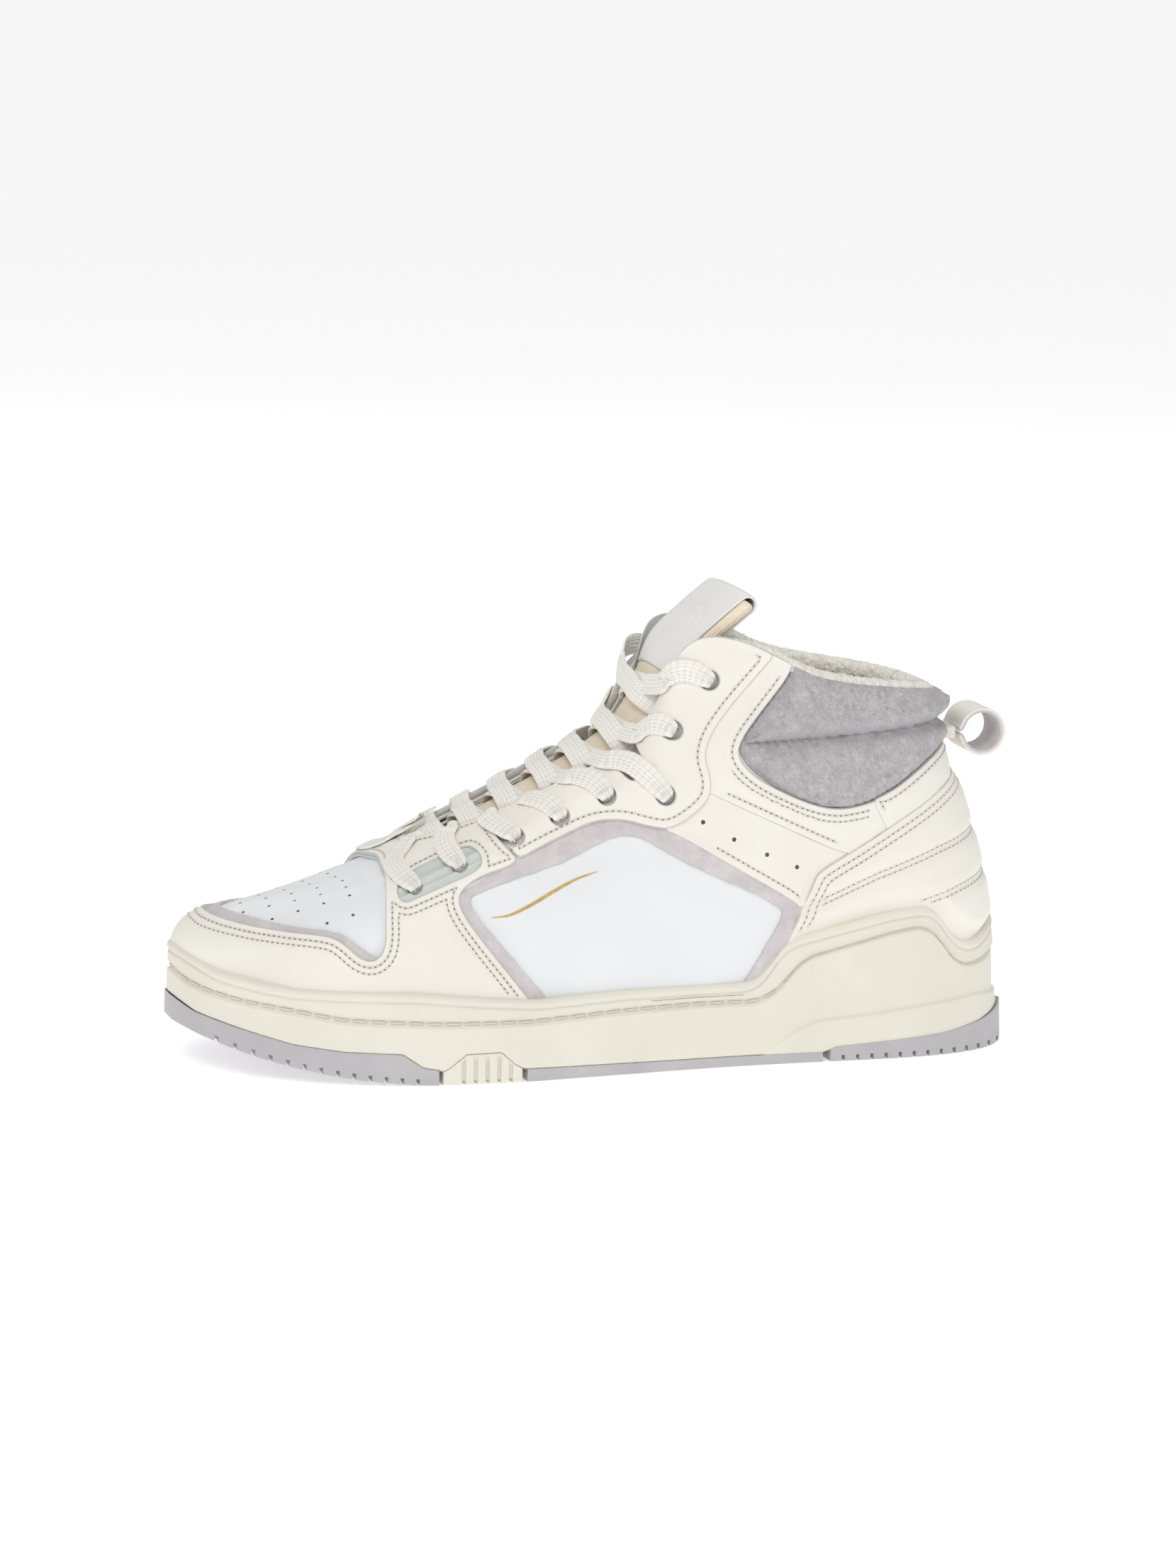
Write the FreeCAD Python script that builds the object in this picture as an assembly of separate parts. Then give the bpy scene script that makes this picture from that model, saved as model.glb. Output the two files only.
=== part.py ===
import FreeCAD, Part
import math
import os

from FreeCAD import Vector

# A left mid-cut basketball shoe, about EU 42. Millimetres, +Z up, toe towards -X,
# outer (lateral) side towards -Y. The origin is on the ground under the middle of
# the sole. The upper is a set of leather layers wrapped on one master surface.

# ---------------------------------------------------------------- driving sizes
SOLE_FRONT = -150.5
SOLE_BACK = 152.5
TOE_SPRING_START = -62.0
TOE_SPRING = 0.0020            # ground clearance grows with the square of x
FEATHER_HEIGHT = 12.0          # where the upper meets the lasting board
FEATHER_TOE_RISE = 0.0012
HEEL_LIFT = 4.0
OUTSOLE_PLATE = 4.0
OUTSOLE_RIM = 3.5
BOARD = 2.0
BOARD_DROP = 0.7               # room for the turned-in edge of the upper
INSOLE_FOREFOOT = 3.5
INSOLE_HEEL = 5.5
INSOLE_INSET = -4.2            # from the master surface, as the layers below
INSOLE_LIFT = 0.4
BOARD_REACH = 1.8
WEDGE_INSET = -1.3
WEDGE_HEIGHT = 6.0
WEDGE_ENDS = (-103.5, 131.5)
SOLE_REACH = 160.0             # beyond both ends of the sole
FILL_TOP = 40.0
CAVITY_TOP = 120.0
TOE_GROOVES = (-136, -69)      # x of the first groove and of the last
HEEL_GROOVES = (84, 119)
OUTSOLE_SEAMS = [(-66.5, 1.5), (-37.0, 1.5), (75.0, 3.0)]       # x and width

# Layers of the upper, as distances from the master surface, inside to outside
LINING_OUT = -2.2
LINING_THICK = 1.2
STIFFENER = (-2.1, -1.5)
BASE = (-1.4, -0.1)
TRIM = (0.0, 0.7)
OVERLAY = (0.8, 2.2)
CUP_FIT = 2.3
COLLAR_PAD_DEPTH = 5.0
COLLAR_BULGE = 4.0

EYELET_RADIUS = 2.4
VENT_RADIUS = 1.1
GAP = 0.05
FAR = 90.0

TONGUE_COVER = (-1.2, 0.0)
TONGUE_FOAM = (-4.5, -1.25)
TONGUE_BACK = (-5.4, -4.55)
TONGUE_LABEL = (0.1, 1.3)

LACE_RADIUS = 1.2
LACE_ABOVE = 4.2
LACE_BELOW = -5.3
LACE_BEND = 1.5
LACE_LIFT = 2.3                # middle of the lower lace above the tongue
LACE_SHARES = (0.0, 0.14, 0.28, 0.42, 0.56, 0.7, 0.85, 1.0, 1.12)
LACE_CROSSING = (0.26, 0.38, 0.5, 0.62, 0.74)

LOOP_CENTRE = (141.0, 111.0)
LOOP_RADIUS = 8.5
LOOP_WIDTH = 19.0
LOOP_STRAP = 1.8
LOOP_ROOT_X = 132.4
TAB = (125.0, 130.6, 109.0, 113.0)      # x and z limits of the sewn tab

COLUMNS_PER_STATION = 2

# Stations from the heel to the toe. Foot of the column: x, y outer, y inner.
# Top of the column (collar and throat edge): x, y, z. Then how far the two
# handles of the column's curve stand from its foot and from its top: x, out, z.
STATIONS = [
    (142.0, 0.0, 0.0, 122.0, 0.0, 127.0, 8.0, 0.0, 45.0, 3.0, 0.0, 39.0),
    (135.0, 20.0, 20.0, 117.0, 16.0, 128.5, 6.0, 3.0, 45.0, 4.0, 1.0, 38.0),
    (115.0, 31.0, 30.5, 102.0, 27.5, 131.0, 2.0, 5.0, 42.0, 3.0, 1.5, 38.0),
    (88.0, 33.5, 32.5, 84.0, 32.5, 133.5, 0.0, 5.0, 40.0, 0.0, 1.0, 38.0),
    (58.0, 35.5, 30.0, 66.0, 34.0, 138.5, 0.0, 6.0, 40.0, 0.0, 1.5, 40.0),
    (28.0, 38.5, 29.0, 46.0, 32.5, 148.0, 0.0, 6.0, 40.0, -5.0, 3.0, 42.0),
    (-2.0, 42.5, 31.0, 27.0, 29.0, 148.0, 0.0, 5.0, 38.0, -4.0, 5.0, 44.0),
    (-30.0, 46.5, 37.0, 19.0, 26.0, 129.0, 4.0, 3.5, 36.0, -10.0, 7.0, 33.0),
    (-57.0, 48.5, 41.5, 8.0, 23.5, 111.0, 5.0, 3.5, 34.0, -14.0, 8.5, 20.0),
    (-82.0, 46.5, 43.5, -9.0, 21.5, 101.0, 4.0, 4.0, 33.0, -18.0, 10.0, 14.5),
    (-107.0, 39.5, 41.0, -29.0, 19.5, 91.0, -1.0, 6.0, 32.0, -28.0, 10.0, 19.5),
    (-126.0, 25.0, 32.0, -49.0, 15.5, 82.5, -7.0, 5.0, 38.0, -34.0, 8.0, 24.0),
    (-136.5, 8.5, 21.0, -62.0, 9.0, 77.5, -11.0, 3.0, 48.0, -42.0, 3.0, 31.0),
    (-140.5, -7.0, 7.0, -66.0, 0.0, 75.5, -13.5, 0.0, 52.0, -46.0, 0.0, 32.0),
]

SOLE_OUTLINE = [
    (SOLE_BACK, 0), (148, -17), (138, -28.5), (121, -36), (98, -39), (70, -40),
    (40, -42), (10, -46), (-20, -50.5), (-48, -53.5), (-74, -52.5), (-100, -47),
    (-123, -36.5), (-139, -22), (-148, -6), (SOLE_FRONT, 8), (-146, 22), (-136, 33.5),
    (-120, 42), (-98, 48), (-70, 49), (-40, 46), (-10, 39), (20, 35), (50, 35),
    (80, 37), (108, 37.5), (130, 32), (146, 19),
]

# Side-view outlines, (x, z)
CUP_TOP = [
    (-170, 46), (-150, 41.5), (-146, 39.6), (-139, 36), (-127, 34), (-115, 32.5),
    (-74, 32), (-48, 29.6), (-30, 28.2), (1, 29.5), (46, 29.4), (52, 31), (58, 39.5),
    (62, 44), (69, 46), (99, 52.5), (112, 53.8), (118, 52), (124, 44), (129, 40.1),
    (136, 38.8), (142, 40.9), (170, 52),
]
OUTSOLE_TOP_TOE = [(-170, 32), (-151, 24.5), (-144.5, 20.6), (-130, 17), (-115, 13.4),
                   (-98, 11.5), (-79, 10.9), (-72, 6.2), (-66.5, 5.2)]
OUTSOLE_TOP_HEEL = [(78, 4.4), (80, 5.2), (103, 6.6), (123, 8), (138, 10.3), (170, 18)]
PIVOT_BLOCK = [(-65, 4.6), (-62.5, 6), (-57, 10.4), (-44.5, 10.6), (-39.5, 6.2), (-37, 4.8)]
MIDFOOT_STRIP = [(-35, 4.4), (20, 3.6), (75, 3.2)]

MUDGUARD = [
    (-170, -5), (-170, 53), (-139, 52), (-135.5, 50.7), (-129, 49.8), (-114, 49),
    (-100, 48.8), (-95.7, 46.2), (-91.5, 42.2), (-87.5, 41.6), (-84.5, 44), (-83, 48),
    (-82.3, 54), (-80.8, 61), (-78.8, 67), (-74, 71.5), (-70, 76), (-66, 95),
    (-44, 95), (-42.4, 81.5), (-35.6, 74.2), (-39.5, 71.7), (-49.4, 68.5),
    (-55.3, 64.6), (-57.4, 61.6), (-56.2, 56.6), (-49, 46.5), (-35.6, 29.8), (-10, -5),
]
MUDGUARD_TRIM = [
    (-170, 46), (-170, 57), (-137, 54.5), (-132.5, 53.3), (-127, 52.8), (-113, 51.2),
    (-99.5, 50.6), (-96, 49.6), (-93, 47.6), (-89.5, 44.6), (-84.5, 42.5), (-86, 36),
    (-93, 36), (-101, 43), (-124, 42), (-132, 43.5), (-140, 46),
]
LACE_WINDOW = [(-75.2, 65.6), (-76.8, 62), (-75.4, 59.4), (-49.2, 70.6), (-47.5, 73.8),
               (-48.6, 76.4), (-51.3, 77), (-68, 69.6)]
LACE_INSERT = [(-78.5, 68.5), (-81, 61), (-76, 56), (-47, 68), (-44, 74), (-46, 80),
               (-52, 81), (-70, 73.5)]
WINDOW_INNER = [
    (-54.3, 62.2), (-50.1, 54.5), (-27.6, 28), (-4, 0), (-4, -5), (29, -5), (29, 0),
    (45.4, 28.4), (59.8, 52.7), (58.6, 56), (22.5, 73), (8, 81.6), (3.3, 82.7),
    (-1.7, 82.4), (-8.6, 79.4), (-19.5, 74.1), (-29.5, 70.9), (-43.4, 66.7),
]
WINDOW_OUTER = [
    (-63, 62), (-62, 55), (-54, 44), (-18, 0), (-18, -5), (42, -5), (42, 0), (57, 22),
    (70, 54), (69, 61), (25, 86.5), (9, 92), (1, 93.5), (-11, 92), (-28, 84.5),
    (-52, 74.5), (-60, 68.5),
]
EYESTAY_BACK = [(17.3, 84), (27.2, 90.1), (32.1, 95.6), (32.2, 102.2), (29.8, 109.1),
                (32.6, 117.2), (40.4, 127.4), (55.1, 143.7), (62, 151)]
EYESTAY = [(-42.1, 81.7), (-35.4, 74.4), (-25.6, 79.1), (-8.8, 86.5), (1.2, 87.6),
           (8.3, 85.8)] + EYESTAY_BACK + [(40, 165), (0, 160), (-43.6, 105)]
FLEX_NOTCH = [(-1.5, 112), (1.2, 104.5), (6, 99.5), (10.5, 103.5), (9, 116)]
COLLAR_SEAM = [(33.5, 95.3), (79.5, 74.1)]
HEEL_EDGE = [(60.2, 40.7), (64.9, 52.8), (69.7, 63.9), (71.6, 68), (84.5, 74.4),
             (102.3, 84.6), (126.1, 97.1)]
PAD_EDGE = [(62.2, 137.8), (51.5, 124.6), (43.9, 114.6), (43.7, 108.6), (51, 101.6),
            (65.1, 92.9), (77.2, 89.2), (88.2, 90.3), (100.1, 95.5), (114.9, 104.6),
            (124, 109)]
PAD_GROOVE = (114.2, 0.045)     # height at x = 60 and slope of the fold
EYELETS = [(-35.7, 80.8), (-19.8, 87.6), (-2.9, 94.5), (16.1, 95.9), (19.6, 117.9),
           (32.3, 135.2)]
INSERT_HOLES = [(-70.8, 64.4), (-55.0, 71.6)]
# Where the lace of each hole crosses the throat edge, from the toe upwards
LACE_EDGE = [(-64, 76), (-54, 80.5), (-42, 85.5), (-28, 91.5), (-14, 98.5), (-2, 104.5),
             (10.5, 114), (20.5, 132)]
VENTS = [(29.2, 86.6), (40.4, 80.3), (52.5, 74.6), (63.6, 69.8)]

# Tongue sections from its sewn front end to its top: x, z of the middle of the
# outer face, then x, y, z of its side edge
TONGUE = [
    (-75, 61.5, -73, 12, 57), (-62, 69.5, -58, 16, 61.5), (-49, 78, -43, 20, 68),
    (-34, 87, -27, 22.5, 75), (-14, 99, -7, 23, 85), (4, 111, 13, 23, 96),
    (14, 120.5, 25, 23, 107), (23, 130, 33, 22.8, 120), (33, 143, 40, 23, 136),
    (41, 154, 44.5, 23.3, 150), (47, 162.5, 48.5, 23.5, 160.8),
]
LABEL_FIRST_ROW = 6.9


# ---------------------------------------------------------------- small helpers
def smooth(t):
    t = max(0.0, min(1.0, t))
    return t * t * (3 - 2 * t)


def ground(x):
    return TOE_SPRING * max(0.0, TOE_SPRING_START - x) ** 2


def feather(x):
    rise = FEATHER_TOE_RISE * max(0.0, TOE_SPRING_START - x) ** 2
    return FEATHER_HEIGHT + rise + HEEL_LIFT * smooth((x - 10) / 90)


def rounded_wire(points, radius):
    """A closed side-view wire with each corner rounded as far as its sides allow."""
    count = len(points)
    starts = []
    edges = []
    for i in range(count):
        before = Vector(points[i - 1][0], 0, points[i - 1][1])
        here = Vector(points[i][0], 0, points[i][1])
        after = Vector(points[(i + 1) % count][0], 0, points[(i + 1) % count][1])
        back = before - here
        on = after - here
        cut = min(radius, back.Length * 0.45, on.Length * 0.45)
        first = here + back.normalize() * cut
        last = here + on.normalize() * cut
        middle = (first + last) * 0.25 + here * 0.5
        bent = abs(back.cross(on).Length) > 0.02
        starts.append((first, middle, last, bent))
    for i in range(count):
        first, middle, last, bent = starts[i]
        if bent:
            edges.append(Part.Arc(first, middle, last).toShape())
        else:
            edges.append(Part.LineSegment(first, last).toShape())
        following = starts[(i + 1) % count][0]
        if (following - last).Length > 1e-4:
            edges.append(Part.LineSegment(last, following).toShape())
    return Part.Wire(edges)


def prism(points, radius=1.5, y_from=-FAR, y_to=FAR):
    """A side-view outline run through the shoe from y_from to y_to."""
    face = Part.Face(rounded_wire(points, radius))
    face.translate(Vector(0, y_from, 0))
    return face.extrude(Vector(0, y_to - y_from, 0))


def band(lower, upper, x_from, x_to, step=8.0):
    """A slab through the shoe between two heights given as functions of x."""
    count = max(2, int(math.ceil((x_to - x_from) / step)))
    xs = [x_from + (x_to - x_from) * i / count for i in range(count + 1)]
    low = Part.BSplineCurve()
    low.interpolate([Vector(x, -FAR, lower(x)) for x in xs])
    high = Part.BSplineCurve()
    high.interpolate([Vector(x, -FAR, upper(x)) for x in reversed(xs)])
    right = Part.LineSegment(low.value(low.LastParameter), high.value(high.FirstParameter))
    left = Part.LineSegment(high.value(high.LastParameter), low.value(low.FirstParameter))
    wire = Part.Wire([low.toShape(), right.toShape(), high.toShape(), left.toShape()])
    return Part.Face(wire).extrude(Vector(0, 2 * FAR, 0))


def above_the_ground():
    """All that is over the outsole's underside: flat, then a curve up to the toe."""
    xs = [TOE_SPRING_START - 9.8 * i for i in range(11)]
    rise = Part.BSplineCurve()
    rise.interpolate(Points=[Vector(x, -FAR, ground(x)) for x in reversed(xs)],
                     FinalTangent=Vector(1, 0, 0),
                     InitialTangent=Vector(1, 0, 2 * TOE_SPRING * (xs[-1] - TOE_SPRING_START)))
    start = Vector(xs[-1], -FAR, ground(xs[-1]))
    flat = Vector(TOE_SPRING_START, -FAR, 0)
    corners = [flat, Vector(160, -FAR, 0), Vector(160, -FAR, 70), Vector(xs[-1], -FAR, 70), start]
    edges = [Part.LineSegment(a, b).toShape() for a, b in zip(corners, corners[1:])]
    wire = Part.Wire([rise.toShape()] + edges)
    return Part.Face(wire).extrude(Vector(0, 2 * FAR, 0))


def solid_from(faces):
    shell = Part.makeShell(faces)
    shell.sewShape()
    solid = Part.makeSolid(shell)
    if solid.Volume < 0:
        solid.reverse()
    return solid


def ring_surface(rows):
    """A surface closed round the shoe through rows of points, low row first."""
    count = len(rows[0])
    rounds = []
    for row in rows:
        curve = Part.BSplineCurve()
        curve.interpolate(Points=row, PeriodicFlag=True,
                          Parameters=[float(i) for i in range(count + 1)])
        rounds.append(curve)
    columns = []
    for j in range(rounds[0].NbPoles):
        curve = Part.BSplineCurve()
        curve.interpolate(Points=[r.getPole(j + 1) for r in rounds],
                          Parameters=[float(i) for i in range(len(rows))])
        columns.append(curve)
    surface = Part.BSplineSurface()
    surface.buildFromPolesMultsKnots(
        [c.getPoles() for c in columns],
        rounds[0].getMultiplicities(), columns[0].getMultiplicities(),
        rounds[0].getKnots(), columns[0].getKnots(),
        True, False, rounds[0].Degree, columns[0].Degree)
    return surface.toShape()


def open_surface(rows):
    """A surface through a grid of points, evenly spaced in its parameters."""
    across = [float(i) for i in range(len(rows[0]))]
    along = [float(i) for i in range(len(rows))]
    lines = []
    for row in rows:
        curve = Part.BSplineCurve()
        curve.interpolate(Points=row, Parameters=across)
        lines.append(curve)
    columns = []
    for j in range(lines[0].NbPoles):
        curve = Part.BSplineCurve()
        curve.interpolate(Points=[c.getPole(j + 1) for c in lines], Parameters=along)
        columns.append(curve)
    surface = Part.BSplineSurface()
    surface.buildFromPolesMultsKnots(
        [c.getPoles() for c in columns],
        lines[0].getMultiplicities(), columns[0].getMultiplicities(),
        lines[0].getKnots(), columns[0].getKnots(),
        False, False, lines[0].Degree, columns[0].Degree)
    return surface.toShape()


def main_solid(shape):
    """The largest solid of a cut, without its slivers."""
    return max(shape.Solids, key=lambda s: s.Volume)


def big_solids(shape, least=2.0):
    kept = [s for s in shape.Solids if s.Volume > least]
    return Part.makeCompound(kept)


# ---------------------------------------------------------------- master surface
def station_cycle():
    """Station values all the way round: outer side, toe, then inner side."""
    rows = []
    last = len(STATIONS) - 1
    for i in list(range(last + 1)) + list(range(last - 1, 0, -1)):
        outer = len(rows) <= last
        x, y_out, y_in, tx, ty, tz, dx1, o1, r1, dx2, o2, r2 = STATIONS[i]
        side = -1.0 if outer else 1.0
        y = side * (y_out if outer else y_in)
        z = feather(x)
        rows.append([x, y, z, x + dx1, y + side * o1, z + r1,
                     tx + dx2, side * (ty + o2), tz - r2, tx, side * ty, tz])
    return rows


CYCLE = station_cycle()
TURN = len(CYCLE)


def bend_values(values):
    """Second derivatives of the closed cubic spline through evenly spaced values."""
    count = len(values)
    bends = [0.0] * count
    for _ in range(60):
        for i in range(count):
            following = (i + 1) % count
            pull = 6 * (values[i - 1] - 2 * values[i] + values[following])
            bends[i] = (pull - bends[i - 1] - bends[following]) / 4
    return bends


CYCLE_BENDS = [bend_values([row[k] for row in CYCLE]) for k in range(12)]


def column(u):
    """The four control points of the column at u."""
    i = int(math.floor(u))
    t = u - i
    a, b = i % TURN, (i + 1) % TURN
    values = []
    for k in range(12):
        bend = CYCLE_BENDS[k]
        value = (1 - t) * CYCLE[a][k] + t * CYCLE[b][k]
        value += ((1 - t) ** 3 - (1 - t)) * bend[a] / 6 + (t ** 3 - t) * bend[b] / 6
        values.append(value)
    return [Vector(*values[3 * n:3 * n + 3]) for n in range(4)]


def on_column(control, v):
    w = 1 - v
    return (control[0] * w ** 3 + control[1] * (3 * w * w * v)
            + control[2] * (3 * w * v * v) + control[3] * v ** 3)


def master(u, v):
    return on_column(column(u), v)


def outward(u, v):
    step = 0.02
    v_low, v_high = max(0.0, v - step), min(1.0, v + step)
    along = master(u + step, v) - master(u - step, v)
    up = on_column(column(u), v_high) - on_column(column(u), v_low)
    return up.cross(along).normalize()


ROWS = 15


def offset_rows(distance, v_from=0.0, v_to=1.0, rows=ROWS):
    """Points of the master surface pushed out by distance(u, v, point)."""
    result = []
    columns = TURN * COLUMNS_PER_STATION
    for j in range(rows):
        v = v_from + (v_to - v_from) * j / (rows - 1)
        row = []
        for i in range(columns):
            u = i / COLUMNS_PER_STATION
            point = master(u, v)
            row.append(point + outward(u, v) * distance(u, v, point))
        result.append(row)
    return result


def steady(value):
    return lambda u, v, point: value


def layer(inside, outside, v_from=0.0, v_to=1.0, rows=ROWS):
    """A closed leather or foam layer between two offsets of the master surface."""
    inner = offset_rows(inside, v_from, v_to, rows)
    outer = offset_rows(outside, v_from, v_to, rows)
    faces = [ring_surface(inner), ring_surface(outer),
             ring_surface([inner[0], outer[0]]), ring_surface([inner[-1], outer[-1]])]
    return solid_from(faces)


def block(distance):
    """Everything inside one offset of the master surface, open up and down."""
    rows = offset_rows(steady(distance))
    bottom = [Vector(p.x, p.y, -20) for p in rows[0]]
    top = [Vector(p.x, p.y, 230) for p in rows[-1]]
    walls = [ring_surface([bottom, rows[0]]), ring_surface(rows),
             ring_surface([rows[-1], top])]
    caps = []
    for edge_points in (bottom, top):
        curve = Part.BSplineCurve()
        curve.interpolate(Points=edge_points, PeriodicFlag=True,
                          Parameters=[float(i) for i in range(len(edge_points) + 1)])
        caps.append(Part.Face(Part.Wire([curve.toShape()])))
    return solid_from(walls + caps)


def find_on_master(x, z, side):
    """u and v of the place with this x and z on one side of the shoe."""
    middle = len(STATIONS) - 1
    best = None
    for i in range(1, middle * 4):
        u = i / 4.0
        if side > 0:
            u = TURN - u
        control = column(u)
        for j in range(4, 41):
            v = j / 40.0
            p = on_column(control, v)
            miss = (p.x - x) ** 2 + (p.z - z) ** 2
            if best is None or miss < best[0]:
                best = (miss, u, v)
    miss, u, v = best
    step = 0.1
    while step > 0.0005:
        moved = False
        for du, dv in ((step, 0), (-step, 0), (0, step * 0.2), (0, -step * 0.2)):
            if not 0 <= v + dv <= 1:
                continue
            p = master(u + du, v + dv)
            trial = (p.x - x) ** 2 + (p.z - z) ** 2
            if trial < miss:
                miss, u, v = trial, u + du, v + dv
                moved = True
                break
        if not moved:
            step /= 2
    return u, v


def hole_pin(x, z, side, radius, inside=-12.0, outside=6.0):
    u, v = find_on_master(x, z, side)
    start = master(u, v)
    axis = outward(u, v)
    return Part.makeCylinder(radius, outside - inside, start + axis * inside, axis)


# ---------------------------------------------------------------- writing out
SHAPES = {}


def keep(name, shape):
    SHAPES[name] = shape
    print(name, "valid", shape.isValid(), "solids", len(shape.Solids),
          "volume", round(shape.Volume), flush=True)


# ---------------------------------------------------------------- sole unit
def sole_section(z, inset_heel, inset_side):
    """The sole outline at one height, pulled in by an amount that grows to the heel."""
    count = len(SOLE_OUTLINE)
    points = []
    for i in range(count):
        before = Vector(*SOLE_OUTLINE[i - 1], 0)
        after = Vector(*SOLE_OUTLINE[(i + 1) % count], 0)
        here = Vector(*SOLE_OUTLINE[i], 0)
        inward = (after - before).cross(Vector(0, 0, 1)).normalize()
        inset = inset_side + (inset_heel - inset_side) * smooth((here.x - 90) / 60)
        place = here + inward * inset
        points.append(Vector(place.x, place.y, z))
    return points


def sole_body(inset_heel, inset_side, heel_taper=8.0, side_taper=2.0):
    low = sole_section(-5, inset_heel, inset_side)
    high = sole_section(62, inset_heel + heel_taper, inset_side + side_taper)
    caps = []
    for row in (low, high):
        curve = Part.BSplineCurve()
        curve.interpolate(Points=row, PeriodicFlag=True,
                          Parameters=[float(i) for i in range(len(row) + 1)])
        caps.append(Part.Face(Part.Wire([curve.toShape()])))
    return solid_from([ring_surface([low, high])] + caps)


def under_toe(points):
    """A boundary line closed off below, down to z = -8."""
    return [(points[0][0], -8)] + points + [(points[-1][0], -8)]


def tread_grooves(x_from, x_to, pitch=5.0, width=1.8, depth=1.8):
    """Cutters for straight grooves across the tread."""
    cutters = []
    x = x_from
    while x <= x_to:
        height = ground(x) + depth + 8
        cutters.append(Part.makeBox(width, 2 * FAR, height, Vector(x - width / 2, -FAR, -8)))
        x += pitch
    return Part.makeCompound(cutters)


def plate_top(x):
    return ground(x) + OUTSOLE_PLATE


def wedge_floor(x):
    return ground(x) + WEDGE_HEIGHT


def board_floor(x):
    """The top of what lies under the lasting board."""
    return feather(x) - BOARD - BOARD_DROP - GAP


def board_top(x):
    return feather(x) - BOARD_DROP


def insole_top(x):
    return feather(x) + INSOLE_FOREFOOT + (INSOLE_HEEL - INSOLE_FOREFOOT) * smooth(x / 90)


def build_sole():
    rim = sole_body(0.0, 0.0)
    core = sole_body(OUTSOLE_RIM, OUTSOLE_RIM)
    standing = rim.common(above_the_ground())
    inner_fill = core.common(band(plate_top, lambda x: FILL_TOP, -SOLE_REACH, SOLE_REACH))

    lasted = block(CUP_FIT)
    cavity = lasted.common(band(board_floor, lambda x: CAVITY_TOP, -SOLE_REACH, SOLE_REACH))
    wedge_room = block(WEDGE_INSET + 0.3).common(
        band(wedge_floor, lambda x: board_floor(x) + 1.0, WEDGE_ENDS[0] - 0.5,
             WEDGE_ENDS[1] + 0.5))
    inner_fill = inner_fill.fuse(cavity)

    toe = standing.common(prism(under_toe(OUTSOLE_TOP_TOE), 2.0)).cut(inner_fill)
    toe = toe.cut(tread_grooves(*TOE_GROOVES))
    keep("outsole_toe", main_solid(toe))

    heel = standing.common(prism(under_toe(OUTSOLE_TOP_HEEL), 2.0)).cut(inner_fill)
    heel = heel.cut(tread_grooves(*HEEL_GROOVES))
    keep("outsole_heel", main_solid(heel))

    pivot = standing.common(prism(under_toe(PIVOT_BLOCK), 2.0)).cut(inner_fill)
    keep("outsole_pivot_block", main_solid(pivot))

    midfoot = standing.common(prism(under_toe(MIDFOOT_STRIP), 2.0)).cut(inner_fill)
    keep("outsole_midfoot", main_solid(midfoot))

    # cup: side walls and floor, hollowed by the lasted upper and the foam wedge
    below_cup_top = prism([(-170, -8)] + CUP_TOP + [(170, -8)], 3.0)
    cup = standing.common(below_cup_top)
    plug = core.common(band(lambda x: plate_top(x) + GAP, lambda x: FILL_TOP,
                            -SOLE_REACH, SOLE_REACH))
    for line in (OUTSOLE_TOP_TOE, OUTSOLE_TOP_HEEL, PIVOT_BLOCK, MIDFOOT_STRIP):
        shifted = [(x, z + GAP) for x, z in line]
        shifted[0] = (shifted[0][0] - GAP, shifted[0][1])
        shifted[-1] = (shifted[-1][0] + GAP, shifted[-1][1])
        cup = cup.cut(prism(under_toe(shifted), 2.0).cut(plug))
    seams = [Part.makeBox(wide, 2 * FAR, 12, Vector(x, -FAR, -8)) for x, wide in OUTSOLE_SEAMS]
    cup = cup.cut(Part.makeCompound(seams))
    cup = cup.cut(cavity).cut(wedge_room)
    keep("midsole_cup", main_solid(cup))

    wedge = block(WEDGE_INSET).common(band(lambda x: wedge_floor(x) + GAP,
                                           lambda x: board_floor(x) - GAP, *WEDGE_ENDS))
    keep("midsole_foam_wedge", main_solid(wedge))

    board = block(BOARD_REACH).common(band(lambda x: board_floor(x) + GAP, board_top,
                                           -SOLE_REACH, SOLE_REACH))
    keep("lasting_board", main_solid(board))

    insole = block(INSOLE_INSET).common(band(lambda x: feather(x) + INSOLE_LIFT, insole_top,
                                             -SOLE_REACH, SOLE_REACH))
    keep("insole", main_solid(insole))


# ---------------------------------------------------------------- upper
def both_sides(name, shape_of_side):
    for label, y_from, y_to, side in (("lateral", -FAR, -GAP, -1), ("medial", GAP, FAR, 1)):
        keep(name + "_" + label, shape_of_side(y_from, y_to, side))


def collar_share(point):
    return smooth((point.x - 38) / 16) * smooth((point.z - 82) / 16)


def lining_depth(u, v, point):
    curl = smooth((1 - v) / 0.08)
    return LINING_OUT - COLLAR_PAD_DEPTH * collar_share(point) * curl


def lining_inner(u, v, point):
    return lining_depth(u, v, point) - LINING_THICK


def fold_height(x):
    """Height of the fold between the collar's two rolls."""
    return PAD_GROOVE[0] + PAD_GROOVE[1] * (x - 60)


def pad_outer(u, v, point):
    """Two rolls with a fold between them, rounded off at the top edge."""
    fold = fold_height(point.x)
    low_edge = 86 + 0.5 * max(0.0, point.x - 88)
    if point.z < fold:
        t = (point.z - low_edge) / (fold - low_edge)
    else:
        t = (point.z - fold) / max(6.0, master(u, 1.0).z + 3 - fold)
    t = max(0.0, min(1.0, t))
    return 0.6 + COLLAR_BULGE * math.sqrt(max(0.0, 4 * t * (1 - t)))


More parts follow.
